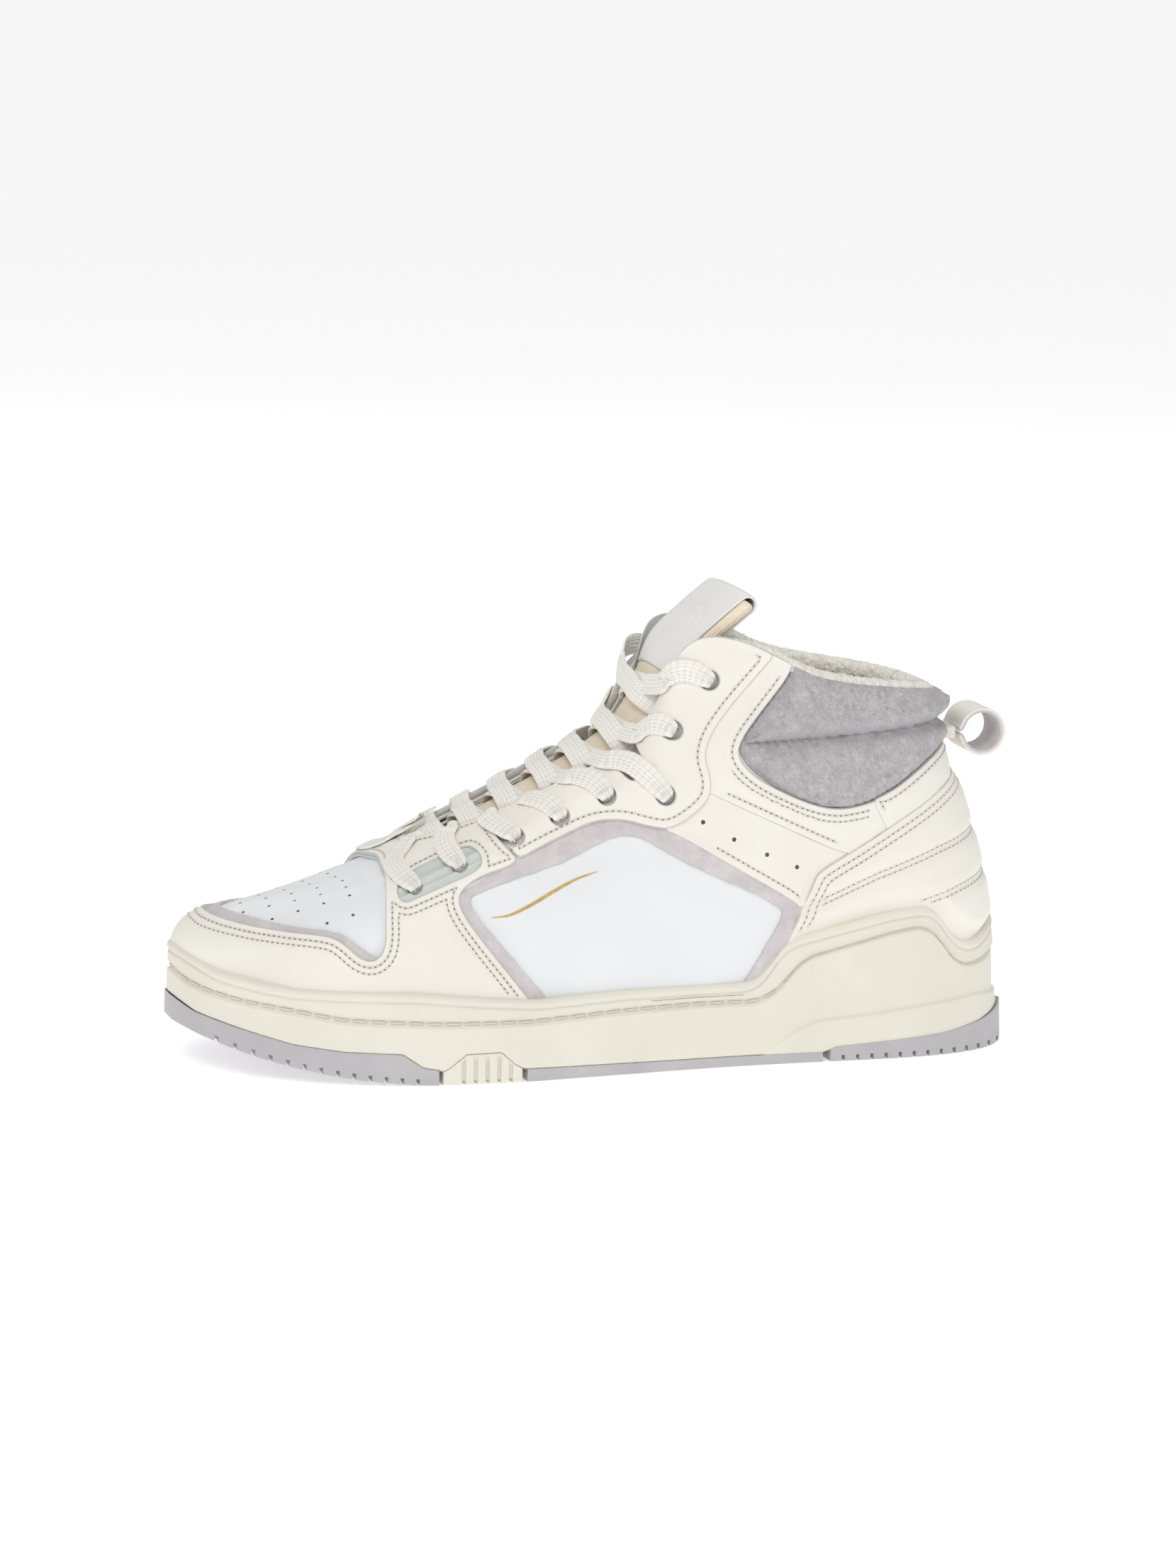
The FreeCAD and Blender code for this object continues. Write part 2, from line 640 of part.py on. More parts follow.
def build_upper():
    base = layer(steady(BASE[0]), steady(BASE[1]))
    overlay = layer(steady(OVERLAY[0]), steady(OVERLAY[1]))
    trim = layer(steady(TRIM[0]), steady(TRIM[1]))
    stiffener = layer(steady(STIFFENER[0]), steady(STIFFENER[1]))
    lining = layer(lining_inner, lining_depth, rows=21)
    pads = layer(steady(BASE[0]), pad_outer, v_from=0.55, v_to=1.0, rows=21)
    foam = layer(lambda u, v, p: lining_depth(u, v, p) + 0.5, steady(STIFFENER[1]),
                 v_from=0.55, v_to=0.95, rows=17)

    pins = {}
    for side in (-1, 1):
        holes = [hole_pin(x, z, side, EYELET_RADIUS) for x, z in EYELETS]
        inserts = [hole_pin(x, z, side, EYELET_RADIUS) for x, z in INSERT_HOLES]
        vents = [hole_pin(x, z, side, VENT_RADIUS, -1.8) for x, z in VENTS]
        pins[side] = (Part.makeCompound(holes + inserts), Part.makeCompound(vents))
    notch = prism(FLEX_NOTCH, 2.0)

    # toe box and quarters: the base leather, split behind the toe box
    vamp_area = [(-170, -5), (-170, 90), (-72, 90), (-66, 60), (-58, -5)]
    vamp = base.common(prism(vamp_area, 0.5))
    vamp = vamp.cut(pins[-1][0]).cut(pins[1][0])
    keep("vamp", main_solid(vamp))

    pad_hole = prism(PAD_EDGE + [(170, 122), (170, 165), (66, 165)], 3.0)
    quarter_area = [(-57.9, -5), (-65.9, 60), (-71.9, 90), (-71.9, 170), (170, 170), (170, -5)]

    def quarter(y_from, y_to, side):
        piece = base.common(prism(quarter_area, 0.5, y_from, y_to)).cut(pad_hole)
        piece = piece.cut(notch).cut(pins[side][0]).cut(pins[side][1])
        return main_solid(piece.cut(tab_room()))
    both_sides("quarter", quarter)

    # overlays
    mudguard_area = prism(MUDGUARD, 3.0).cut(prism(LACE_WINDOW, 2.0))
    keep("mudguard", main_solid(overlay.common(mudguard_area)))
    keep("mudguard_trim", big_solids(trim.common(prism(MUDGUARD_TRIM, 2.0))))

    def insert(y_from, y_to, side):
        return main_solid(trim.common(prism(LACE_INSERT, 2.0, y_from, y_to)).cut(pins[side][0]))
    both_sides("lace_insert", insert)

    insert_room = prism(LACE_INSERT, 2.0)

    def window_trim(y_from, y_to, side):
        piece = trim.common(prism(WINDOW_OUTER, 3.0, y_from, y_to))
        return main_solid(piece.cut(prism(WINDOW_INNER, 2.0)).cut(insert_room).cut(pins[side][0]))
    both_sides("window_trim", window_trim)

    def eyestay(y_from, y_to, side):
        piece = overlay.common(prism(EYESTAY, 2.5, y_from, y_to)).cut(notch)
        return main_solid(piece.cut(pins[side][0]))
    both_sides("eyestay", eyestay)

    side_area = ([(x + GAP, z - GAP) for x, z in EYESTAY_BACK[:3]] + COLLAR_SEAM
                 + [(84, 74.3), (71.1, 68.2), (69.2, 64.1), (64.4, 56),
                    (62.8, 57.8), (22.4, 81)])

    def side_panel(y_from, y_to, side):
        piece = overlay.common(prism(side_area, 0.8, y_from, y_to))
        return main_solid(piece.cut(pins[side][1]))
    both_sides("side_panel", side_panel)

    back_of_stay = [(x + 5 * GAP, z - GAP) for x, z in EYESTAY_BACK[3:]]
    seam_high = [(x, z + 2 * GAP) for x, z in COLLAR_SEAM]
    heel_high = [(x, z + 3 * GAP) for x, z in HEEL_EDGE]
    collar_front = (back_of_stay + [(66, 150)] + PAD_EDGE[:8]
                    + [(91.5, 91.9), (98, 82.4)] + [heel_high[4]] + seam_high[::-1])

    def collar_panel(y_from, y_to, side):
        return main_solid(overlay.common(prism(collar_front, 1.2, y_from, y_to)))
    both_sides("collar_panel", collar_panel)

    band_area = ([(91.7, 92), (98.2, 82.5)] + heel_high[5:] + [(170, 120.3), (170, 135)]
                 + PAD_EDGE[:7:-1])
    heel_band = overlay.common(prism(band_area, 1.0)).cut(tab_room())
    keep("heel_collar_band", main_solid(heel_band))

    heel_area = [(44, -5)] + HEEL_EDGE + [(170, 120), (170, -5)]
    keep("heel_overlay", main_solid(overlay.common(prism(heel_area, 1.5))))

    # stiffeners between the leather and the lining
    keep("toe_puff", main_solid(stiffener.common(prism([(-170, -5), (-170, 90), (-112, 90),
                                                        (-104, -5)], 1.0))))
    keep("heel_counter", main_solid(stiffener.common(prism(
        [(82, -5), (86, 60), (112, 82), (170, 92), (170, -5)], 2.0))))
    tape_area = ([(-33, 77), (-8.8, 89), (1.2, 90), (14, 88), (26, 95), (27, 108),
                  (30, 118), (50, 141), (60, 151)] + [(40, 165), (0, 160), (-60, 105)])

    def tape(y_from, y_to, side):
        piece = stiffener.common(prism(tape_area, 2.0, y_from, y_to)).cut(notch)
        return main_solid(piece.cut(pins[side][0]))
    both_sides("eyelet_tape", tape)

    # linings
    toe_lining = lining.common(prism(vamp_area, 0.5))
    keep("vamp_lining", main_solid(toe_lining.cut(pins[-1][0]).cut(pins[1][0])))
    collar_area = [(40, 170), (52, 96), (56, 88), (64, 84), (170, 84), (170, 170)]

    def quarter_lining(y_from, y_to, side):
        piece = lining.common(prism(quarter_area, 0.5, y_from, y_to))
        piece = piece.cut(prism(collar_area, 2.0)).cut(notch)
        return main_solid(piece.cut(pins[side][0]))
    both_sides("quarter_lining", quarter_lining)
    inside_collar = [(x + 0.1, z + 0.1) for x, z in collar_area]
    keep("collar_lining", main_solid(lining.common(prism(inside_collar, 2.0))))

    # collar padding
    foam_area = [(60, 170), (62, 106), (68, 100), (128, 100), (170, 100), (170, 170)]
    keep("collar_foam", main_solid(foam.common(prism(foam_area, 3.0))))
    opening = ([(x + 0.4, z + 0.4) for x, z in PAD_EDGE[1:]] + [(170, 123)]
               + [(170, 165), (66, 165), (62.4, 138)])
    padding = pads.common(prism(opening, 3.0))
    lower = prism([(30, 60), (30, fold_height(30) - GAP), (170, fold_height(170) - GAP),
                   (170, 60)], 0.5)
    upper = prism([(30, 180), (30, fold_height(30) + GAP), (170, fold_height(170) + GAP),
                   (170, 180)], 0.5)
    keep("collar_pad_lower", main_solid(padding.common(lower).cut(tab_room())))
    keep("collar_pad_upper", main_solid(padding.common(upper)))


# ---------------------------------------------------------------- tongue
def tongue_point(row, t):
    """A point of the outer face: row along the tongue, t from 0 to 1 across it."""
    last = len(TONGUE) - 1
    i = max(0, min(last - 1, int(math.floor(row))))
    f = row - i
    around = [TONGUE[max(0, i - 1)], TONGUE[i], TONGUE[i + 1], TONGUE[min(last, i + 2)]]
    values = []
    for k in range(5):
        a, b, c, d = (section[k] for section in around)
        slope_b = (c - a) / 2
        slope_c = (d - b) / 2
        values.append(b * (1 + 2 * f) * (1 - f) ** 2 + slope_b * f * (1 - f) ** 2
                      + c * f * f * (3 - 2 * f) + slope_c * f * f * (f - 1))
    cx, cz, wx, wy, wz = values
    hx, hz = (8 * cx - 2 * wx) / 6, (8 * cz - 2 * wz) / 6
    w = 1 - t
    ends = w ** 3 + t ** 3
    middle = 3 * w * t
    y = -wy * (w ** 3 - t ** 3) - 0.6 * wy * middle * (w - t)
    return Vector(wx * ends + hx * middle, y, wz * ends + hz * middle)


def tongue_normal(row, t):
    step = 0.02
    along = tongue_point(row + step, t) - tongue_point(row - step, t)
    across = tongue_point(row, t + step) - tongue_point(row, t - step)
    return along.cross(across).normalize()


def tongue_face(distance, row_from, row_to, t_from, t_to, rows=19, columns=13):
    points = []
    for i in range(rows):
        row = row_from + (row_to - row_from) * i / (rows - 1)
        line = []
        for j in range(columns):
            t = t_from + (t_to - t_from) * j / (columns - 1)
            line.append(tongue_point(row, t) + tongue_normal(row, t) * distance)
        points.append(line)
    return points


def slab(low, high):
    """A closed sheet between two grids of points."""
    faces = [open_surface(low), open_surface(high)]
    for a, b in ((low[0], high[0]), (low[-1], high[-1]),
                 ([r[0] for r in low], [r[0] for r in high]),
                 ([r[-1] for r in low], [r[-1] for r in high])):
        faces.append(open_surface([a, b]))
    return solid_from(faces)


def build_tongue():
    last = len(TONGUE) - 1
    for name, (inside, outside) in (("tongue_cover", TONGUE_COVER),
                                    ("tongue_foam", TONGUE_FOAM),
                                    ("tongue_lining", TONGUE_BACK)):
        keep(name, slab(tongue_face(inside, 0, last, 0.0, 1.0),
                        tongue_face(outside, 0, last, 0.0, 1.0)))
    keep("tongue_label", slab(
        tongue_face(TONGUE_LABEL[0], LABEL_FIRST_ROW, last, 0.13, 0.87, 7, 9),
        tongue_face(TONGUE_LABEL[1], LABEL_FIRST_ROW, last, 0.13, 0.87, 7, 9)))


# ---------------------------------------------------------------- pull loop
def tab_room():
    return Part.makeBox(9.5, LOOP_WIDTH + 1, TAB[3] - TAB[2] + 1.2,
                        Vector(TAB[0] - 0.5, -(LOOP_WIDTH + 1) / 2, TAB[2] - 0.6))


def build_pull_loop():
    x, z = LOOP_CENTRE
    start = Vector(x, -LOOP_WIDTH / 2, z)
    outside = Part.makeCylinder(LOOP_RADIUS, LOOP_WIDTH, start, Vector(0, 1, 0))
    inside = Part.makeCylinder(LOOP_RADIUS - LOOP_STRAP, LOOP_WIDTH + 2,
                               start - Vector(0, 1, 0), Vector(0, 1, 0))
    root = Part.makeBox(x - LOOP_RADIUS + 2 - LOOP_ROOT_X, LOOP_WIDTH, TAB[3] - TAB[2],
                        Vector(LOOP_ROOT_X, -LOOP_WIDTH / 2, TAB[2]))
    keep("pull_loop", main_solid(outside.fuse(root).cut(inside)))
    keep("pull_loop_tab", Part.makeBox(TAB[1] - TAB[0], LOOP_WIDTH, TAB[3] - TAB[2],
                                       Vector(TAB[0], -LOOP_WIDTH / 2, TAB[2])))


# ---------------------------------------------------------------- lace
def tube(points, radius, bend):
    """A round tube along straight runs joined by tangent arcs."""
    edges = []
    last = points[0]
    for before, here, after in zip(points, points[1:], points[2:]):
        back = before - here
        on = after - here
        cut = min(bend, back.Length * 0.45, on.Length * 0.45)
        turn = math.pi - back.getAngle(on)
        first = here + back.normalize() * cut
        end = here + on.normalize() * cut
        sag = cut * math.cos(turn / 2) * math.tan(turn / 4)
        middle = (first + end) * 0.5
        toward = (here - middle).normalize()
        edges.append(Part.LineSegment(last, first).toShape())
        edges.append(Part.Arc(first, middle + toward * sag, end).toShape())
        last = end
    edges.append(Part.LineSegment(last, points[-1]).toShape())
    path = Part.Wire(edges)
    section = Part.Wire([Part.makeCircle(radius, points[0], points[1] - points[0])])
    solid = path.makePipeShell([section], True, False)
    ratio = solid.Volume / (math.pi * radius ** 2 * path.Length)
    print("tube length", round(path.Length), "volume ratio", round(ratio, 4))
    return solid


def find_on_edge(x, z, side):
    """u of the place on the throat's edge nearest to this x and z."""
    half = len(STATIONS) - 1
    places = [half + side * i / 20.0 for i in range(0, 20 * half)]
    return min(places, key=lambda u: (master(u, 1.0) - Vector(x, master(u, 1.0).y, z)).Length)


def lace_holes(side):
    """For each hole, where a lace runs above and below the leather to the throat edge."""
    holes = []
    for hole, edge in zip(INSERT_HOLES + EYELETS, LACE_EDGE):
        u, v = find_on_master(hole[0], hole[1], side)
        u_edge = find_on_edge(edge[0], edge[1], side)
        above = []
        below = []
        for share in LACE_SHARES:
            place = (u + (u_edge - u) * share, v + (1 - v) * share)
            above.append(master(*place) + outward(*place) * LACE_ABOVE)
            below.append(master(*place) + outward(*place) * LACE_BELOW)
        holes.append({"above": above, "below": below})
    return holes


def nearest_tongue_row(point):
    rows = [i / 20.0 for i in range(0, 20 * (len(TONGUE) - 1))]
    middle = Vector(point.x, 0, point.z)
    return min(rows, key=lambda row: (tongue_point(row, 0.5) - middle).Length)


def over_tongue(start, end, side, lift):
    """A lace's way over the tongue, from one throat edge to the other."""
    row_start = nearest_tongue_row(start)
    row_end = nearest_tongue_row(end)
    way = []
    for t in LACE_CROSSING:
        row = row_start + (row_end - row_start) * t
        place = t if side < 0 else 1 - t
        on_label = smooth((row - LABEL_FIRST_ROW + 0.9) / 0.6) * TONGUE_LABEL[1]
        way.append(tongue_point(row, place) + tongue_normal(row, place) * (lift + on_label))
    return way


def build_lace():
    """One lace, drawn as two halves that meet in the middle of the first bar."""
    sides = {side: lace_holes(side) for side in (-1, 1)}
    middle = (sides[-1][0]["above"][-1] + sides[1][0]["above"][-1]) * 0.5
    halves = []
    for side in (-1, 1):
        holes = sides[side], sides[-side]
        lift = LACE_LIFT if side < 0 else LACE_LIFT + 2.2 * LACE_RADIUS
        way = [middle] + holes[0][0]["above"][::-1]
        last = len(holes[0]) - 1
        for k in range(last):
            under = holes[k % 2][k]["below"]
            over = holes[(k + 1) % 2][k + 1]["above"][::-1]
            here = side if k % 2 == 0 else -side
            way += under + over_tongue(under[-1], over[0], here, lift) + over
        way.append(holes[last % 2][last]["below"][0])
        halves.append(tube(way, LACE_RADIUS, LACE_BEND))
    keep("shoelace", Part.makeCompound(halves))


if __name__ == "__main__":
    os.makedirs("parts", exist_ok=True)
    build_sole()
    build_upper()
    build_tongue()
    build_pull_loop()
    build_lace()
    for node, shape in SHAPES.items():
        shape.exportStep("parts/" + node + ".step")
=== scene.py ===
import math

import bmesh
import bpy
import numpy as np
from mathutils import Matrix, Vector


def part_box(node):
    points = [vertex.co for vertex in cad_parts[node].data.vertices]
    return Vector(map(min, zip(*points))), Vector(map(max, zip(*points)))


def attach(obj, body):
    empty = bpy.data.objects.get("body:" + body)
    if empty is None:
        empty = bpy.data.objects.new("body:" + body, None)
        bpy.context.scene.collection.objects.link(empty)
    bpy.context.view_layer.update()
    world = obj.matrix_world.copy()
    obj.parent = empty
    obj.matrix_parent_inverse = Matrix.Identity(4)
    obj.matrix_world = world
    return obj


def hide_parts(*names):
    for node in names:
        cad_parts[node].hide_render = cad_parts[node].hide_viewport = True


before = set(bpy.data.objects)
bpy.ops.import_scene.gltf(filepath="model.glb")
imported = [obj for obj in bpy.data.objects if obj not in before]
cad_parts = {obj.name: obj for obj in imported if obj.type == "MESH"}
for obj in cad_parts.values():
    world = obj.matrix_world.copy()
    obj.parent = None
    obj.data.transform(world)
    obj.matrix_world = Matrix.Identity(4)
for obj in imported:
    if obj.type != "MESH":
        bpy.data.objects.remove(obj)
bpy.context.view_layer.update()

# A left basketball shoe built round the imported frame. Lengths in this script are in
# millimetres, in the frame's axes (toe -X, outer side -Y, up +Z), and MM turns them
# into metres when a mesh is made.

MM = 0.001
NOISE = np.random.default_rng(7)


def node_box(*names):
    """The box of some CAD nodes, in millimetres."""
    boxes = [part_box(name) for name in names]
    low = np.min([np.array(b[0]) for b in boxes], axis=0) / MM
    high = np.max([np.array(b[1]) for b in boxes], axis=0) / MM
    return low, high


# ------------------------------------------------------------------ the last's shape
TOE_SPRING_START = -62.0
TOE_SPRING = 0.0020
FEATHER_HEIGHT = 12.0
FEATHER_TOE_RISE = 0.0012
HEEL_LIFT = 4.0

# Heel to toe. Foot of the column: x, y outer, y inner. Top of the column: x, y, z.
# Then how far its curve's handles stand from foot and top: x, out, z.
STATIONS = [
    (142.0, 0.0, 0.0, 122.0, 0.0, 127.0, 8.0, 0.0, 45.0, 3.0, 0.0, 39.0),
    (135.0, 20.0, 20.0, 117.0, 16.0, 128.5, 6.0, 3.0, 45.0, 4.0, 1.0, 38.0),
    (115.0, 31.0, 30.5, 102.0, 27.5, 131.0, 2.0, 5.0, 42.0, 3.0, 1.5, 38.0),
    (88.0, 33.5, 32.5, 84.0, 32.5, 133.5, 0.0, 5.0, 40.0, 0.0, 1.0, 38.0),
    (58.0, 35.5, 30.0, 66.0, 34.0, 138.5, 0.0, 6.0, 40.0, 0.0, 1.5, 40.0),
    (28.0, 38.5, 29.0, 46.0, 32.5, 148.0, 0.0, 6.0, 40.0, -5.0, 3.0, 42.0),
    (-2.0, 42.5, 31.0, 27.0, 29.0, 148.0, 0.0, 5.0, 38.0, -4.0, 5.0, 44.0),
    (-30.0, 46.5, 37.0, 19.0, 26.0, 129.0, 4.0, 3.5, 36.0, -10.0, 7.0, 33.0),
    (-57.0, 48.5, 41.5, 8.0, 23.5, 111.0, 5.0, 3.5, 34.0, -14.0, 8.5, 20.0),
    (-82.0, 46.5, 43.5, -9.0, 21.5, 101.0, 4.0, 4.0, 33.0, -18.0, 10.0, 14.5),
    (-107.0, 39.5, 41.0, -29.0, 19.5, 91.0, -1.0, 6.0, 32.0, -28.0, 10.0, 19.5),
    (-126.0, 25.0, 32.0, -49.0, 15.5, 82.5, -7.0, 5.0, 38.0, -34.0, 8.0, 24.0),
    (-136.5, 8.5, 21.0, -62.0, 9.0, 77.5, -11.0, 3.0, 48.0, -42.0, 3.0, 31.0),
    (-140.5, -7.0, 7.0, -66.0, 0.0, 75.5, -13.5, 0.0, 52.0, -46.0, 0.0, 32.0),
]
TURN = 2 * (len(STATIONS) - 1)          # u goes once round the shoe in this many steps
TOE_U = TURN / 2

SOLE_OUTLINE = [
    (152.5, 0), (148, -17), (138, -28.5), (121, -36), (98, -39), (70, -40),
    (40, -42), (10, -46), (-20, -50.5), (-48, -53.5), (-74, -52.5), (-100, -47),
    (-123, -36.5), (-139, -22), (-148, -6), (-150.5, 8), (-146, 22), (-136, 33.5),
    (-120, 42), (-98, 48), (-70, 49), (-40, 46), (-10, 39), (20, 35), (50, 35),
    (80, 37), (108, 37.5), (130, 32), (146, 19),
]

# Side-view lines, (x, z)
CUP_TOP = [
    (-170, 46), (-150, 41.5), (-146, 39.6), (-139, 36), (-127, 34), (-115, 32.5),
    (-74, 32), (-48, 29.6), (-30, 28.2), (1, 29.5), (46, 29.4), (52, 31), (58, 39.5),
    (62, 44), (69, 46), (99, 52.5), (112, 53.8), (118, 52), (124, 44), (129, 40.1),
    (136, 38.8), (142, 40.9), (170, 52),
]
CUP_GROOVE = [
    (-170, 39), (-150.8, 33.5), (-147.7, 30.6), (-141.7, 28.7), (-130.6, 26.9),
    (-115.6, 25.2), (-98.5, 22.5), (-82.5, 21.9), (-65.5, 21.2), (-33.5, 20.8),
    (1.5, 22.5), (26.5, 23), (50.5, 22.7), (58.5, 26.2), (64.3, 34), (69.2, 37.9),
    (101, 45.5), (113, 46.8), (120.2, 42.2), (124.3, 36), (130.4, 31.6), (135.4, 31.2),
    (144.4, 32.4), (170, 40),
]
OUTSOLE_TOP = [
    (-170, 32), (-151, 24.5), (-144.5, 20.6), (-130, 17), (-115, 13.4), (-98, 11.5),
    (-79, 10.9), (-72, 6.2), (-66.5, 5.2), (-65, 4.6), (-62.5, 6), (-57, 10.4),
    (-44.5, 10.6), (-39.5, 6.2), (-37, 4.8), (-35, 4.4), (20, 3.6), (75, 3.4),
    (78, 4.4), (80, 5.2), (103, 6.6), (123, 8), (138, 10.3), (170, 18),
]
HEEL_STEP = [(50, 2), (55, 4.8), (65, 10.8), (73, 14), (90, 15.3), (116, 17.8),
             (137, 19.2), (151, 17.5), (170, 17)]
MUDGUARD = [
    (-170, 20), (-170, 53), (-139, 52), (-135.5, 50.7), (-129, 49.8), (-114, 49),
    (-100, 48.8), (-95.7, 46.2), (-91.5, 42.2), (-87.5, 41.6), (-84.5, 44), (-83, 48),
    (-82.3, 54), (-80.8, 61), (-78.8, 67), (-74, 71.5), (-70, 76), (-66, 95),
    (-44, 95), (-42.4, 81.5), (-35.6, 74.2), (-39.5, 71.7), (-49.4, 68.5),
    (-55.3, 64.6), (-57.4, 61.6), (-56.2, 56.6), (-49, 46.5), (-35.6, 29.8), (-28, 20),
]
MUDGUARD_TRIM = [
    (-170, 46), (-170, 57), (-137, 54.5), (-132.5, 53.3), (-127, 52.8), (-113, 51.2),
    (-99.5, 50.6), (-96, 49.6), (-93, 47.6), (-89.5, 44.6), (-84.5, 42.5), (-86, 36),
    (-93, 36), (-101, 43), (-124, 42), (-132, 43.5), (-140, 46),
]
LACE_WINDOW = [(-75.2, 65.6), (-76.8, 62), (-75.4, 59.4), (-49.2, 70.6), (-47.5, 73.8),
               (-48.6, 76.4), (-51.3, 77), (-68, 69.6)]
LACE_INSERT = [(-78.5, 68.5), (-81, 61), (-76, 56), (-47, 68), (-44, 74), (-46, 80),
               (-52, 81), (-70, 73.5)]
WINDOW_INNER = [
    (-54.3, 62.2), (-50.1, 54.5), (-27.6, 28), (-15, 15), (38, 15),
    (45.4, 28.4), (59.8, 52.7), (58.6, 56), (22.5, 73), (8, 81.6), (3.3, 82.7),
    (-1.7, 82.4), (-8.6, 79.4), (-19.5, 74.1), (-29.5, 70.9), (-43.4, 66.7),
]
WINDOW_OUTER = [
    (-63, 62), (-62, 55), (-54, 44), (-32, 16), (53, 16), (57, 22),
    (70, 54), (69, 61), (25, 86.5), (9, 92), (1, 93.5), (-11, 92), (-28, 84.5),
    (-52, 74.5), (-60, 68.5),
]
EYESTAY_BACK = [(17.3, 84), (27.2, 90.1), (32.1, 95.6), (32.2, 102.2), (29.8, 109.1),
                (32.6, 117.2), (40.4, 127.4), (55.1, 143.7), (62, 151)]
EYESTAY = [(-42.1, 81.7), (-35.4, 74.4), (-25.6, 79.1), (-8.8, 86.5), (1.2, 87.6),
           (8.3, 85.8)] + EYESTAY_BACK + [(40, 165), (0, 160), (-43.6, 105)]
FLEX_NOTCH = [(-1.5, 112), (1.2, 104.5), (6, 99.5), (10.5, 103.5), (9, 116)]
COLLAR_SEAM = [(33.5, 95.3), (79.5, 74.1)]
HEEL_EDGE = [(60.2, 40.7), (64.9, 52.8), (69.7, 63.9), (71.6, 68), (84.5, 74.4),
             (102.3, 84.6), (126.1, 97.1)]
PAD_EDGE = [(62.2, 137.8), (51.5, 124.6), (43.9, 114.6), (43.7, 108.6), (51, 101.6),
            (65.1, 92.9), (77.2, 89.2), (88.2, 90.3), (100.1, 95.5), (114.9, 104.6),
            (124, 109)]
PAD_GROOVE = (114.2, 0.045)
EYELETS = [(-70.8, 64.4), (-55.0, 71.6), (-35.7, 80.8), (-19.8, 87.6), (-2.9, 94.5),
           (16.1, 95.9), (19.6, 117.9), (32.3, 135.2)]
VENTS = [(29.2, 86.6), (40.4, 80.3), (52.5, 74.6), (63.6, 69.8)]
EYELET_RADIUS = 2.4
# Where the lace of each hole crosses the throat edge, from the toe upwards
LACE_EDGE = [(-64, 76), (-54, 80.5), (-42, 85.5), (-28, 91.5), (-14, 98.5), (-2, 104.5),
             (10.5, 114), (20.5, 132)]

# Heights over the last's surface, of the top and the underside of the base leather and of
# the tops of the pieces on it
BASE_TOP = -0.1
BASE_UNDER = -1.4
TRIM_TOP = 0.7
MUDGUARD_TOP = 2.2
SIDE_TOP = 1.7
COLLAR_TOP = 1.95
BAND_TOP = 2.15
STAY_TOP = 2.5
HEEL_TOP = 2.6
LINING_UNDER = -2.2
LINING_THICK = 1.2
COLLAR_PAD_DEPTH = 5.0

# Edges of the pieces, in millimetres
LEATHER_RIM = 0.7               # radius of a panel's rounded edge
THIN_RIM = 0.5                  # the same for thin leather, suede and felt
STITCH_PITCH = 2.1


def smooth(t):
    t = np.clip(t, 0.0, 1.0)
    return t * t * (3 - 2 * t)


def ground(x):
    """Height of the tread over the floor: the toe lifts."""
    return TOE_SPRING * np.maximum(0.0, TOE_SPRING_START - x) ** 2


def feather(x):
    """Height of the last's lower edge."""
    rise = FEATHER_TOE_RISE * np.maximum(0.0, TOE_SPRING_START - x) ** 2
    return FEATHER_HEIGHT + rise + HEEL_LIFT * smooth((x - 10) / 90)


def along(line, x):
    """The height of a side-view line at x."""
    xs, zs = zip(*line)
    return np.interp(x, xs, zs)


def periodic_bends(values):
    """Second derivatives of the closed cubic spline through evenly spaced values."""
    count = len(values)
    system = 4 * np.eye(count) + np.roll(np.eye(count), 1, 0) + np.roll(np.eye(count), -1, 0)
    pull = 6 * (np.roll(values, 1, 0) - 2 * values + np.roll(values, -1, 0))
    return np.linalg.solve(system, pull)


def spline_round(values, bends, t):
    """Values of the closed spline at parameters t."""
    count = len(values)
    cell = np.floor(t).astype(int)
    f = (t - cell)[..., None]
    a, b = cell % count, (cell + 1) % count
    return ((1 - f) * values[a] + f * values[b]
            + ((1 - f) ** 3 - (1 - f)) * bends[a] / 6 + (f ** 3 - f) * bends[b] / 6)


def station_cycle():
    """The columns' four control points each, once round from the heel by the outer side."""
    last = len(STATIONS) - 1
    rows = []
    for i in list(range(last + 1)) + list(range(last - 1, 0, -1)):
        outer = len(rows) <= last
        x, y_out, y_in, tx, ty, tz, dx1, o1, r1, dx2, o2, r2 = STATIONS[i]
        side = -1.0 if outer else 1.0
        y = side * (y_out if outer else y_in)
        z = float(feather(np.array(x)))
        rows.append([x, y, z, x + dx1, y + side * o1, z + r1,
                     tx + dx2, side * (ty + o2), tz - r2, tx, side * ty, tz])
    return np.array(rows)


CYCLE = station_cycle()
CYCLE_BENDS = periodic_bends(CYCLE)


def master(u, v):
    """Points of the last's surface. u goes round from the heel by the outer side."""
    u, v = np.broadcast_arrays(np.asarray(u, float), np.asarray(v, float))
    handles = spline_round(CYCLE, CYCLE_BENDS, u).reshape(u.shape + (4, 3))
    w = (1 - v)[..., None]
    v = v[..., None]
    return (handles[..., 0, :] * w ** 3 + handles[..., 1, :] * 3 * w * w * v
            + handles[..., 2, :] * 3 * w * v * v + handles[..., 3, :] * v ** 3)


def unit(vectors):
    return vectors / np.maximum(np.linalg.norm(vectors, axis=-1, keepdims=True), 1e-9)


def outward(u, v):
    """The direction away from the foot at places of the last's surface."""
    step = 0.02
    u = np.asarray(u, float)
    v = np.asarray(v, float)
    around = master(u + step, v) - master(u - step, v)
    up = master(u, np.minimum(1, v + step)) - master(u, np.maximum(0, v - step))
    return unit(np.cross(up, around))


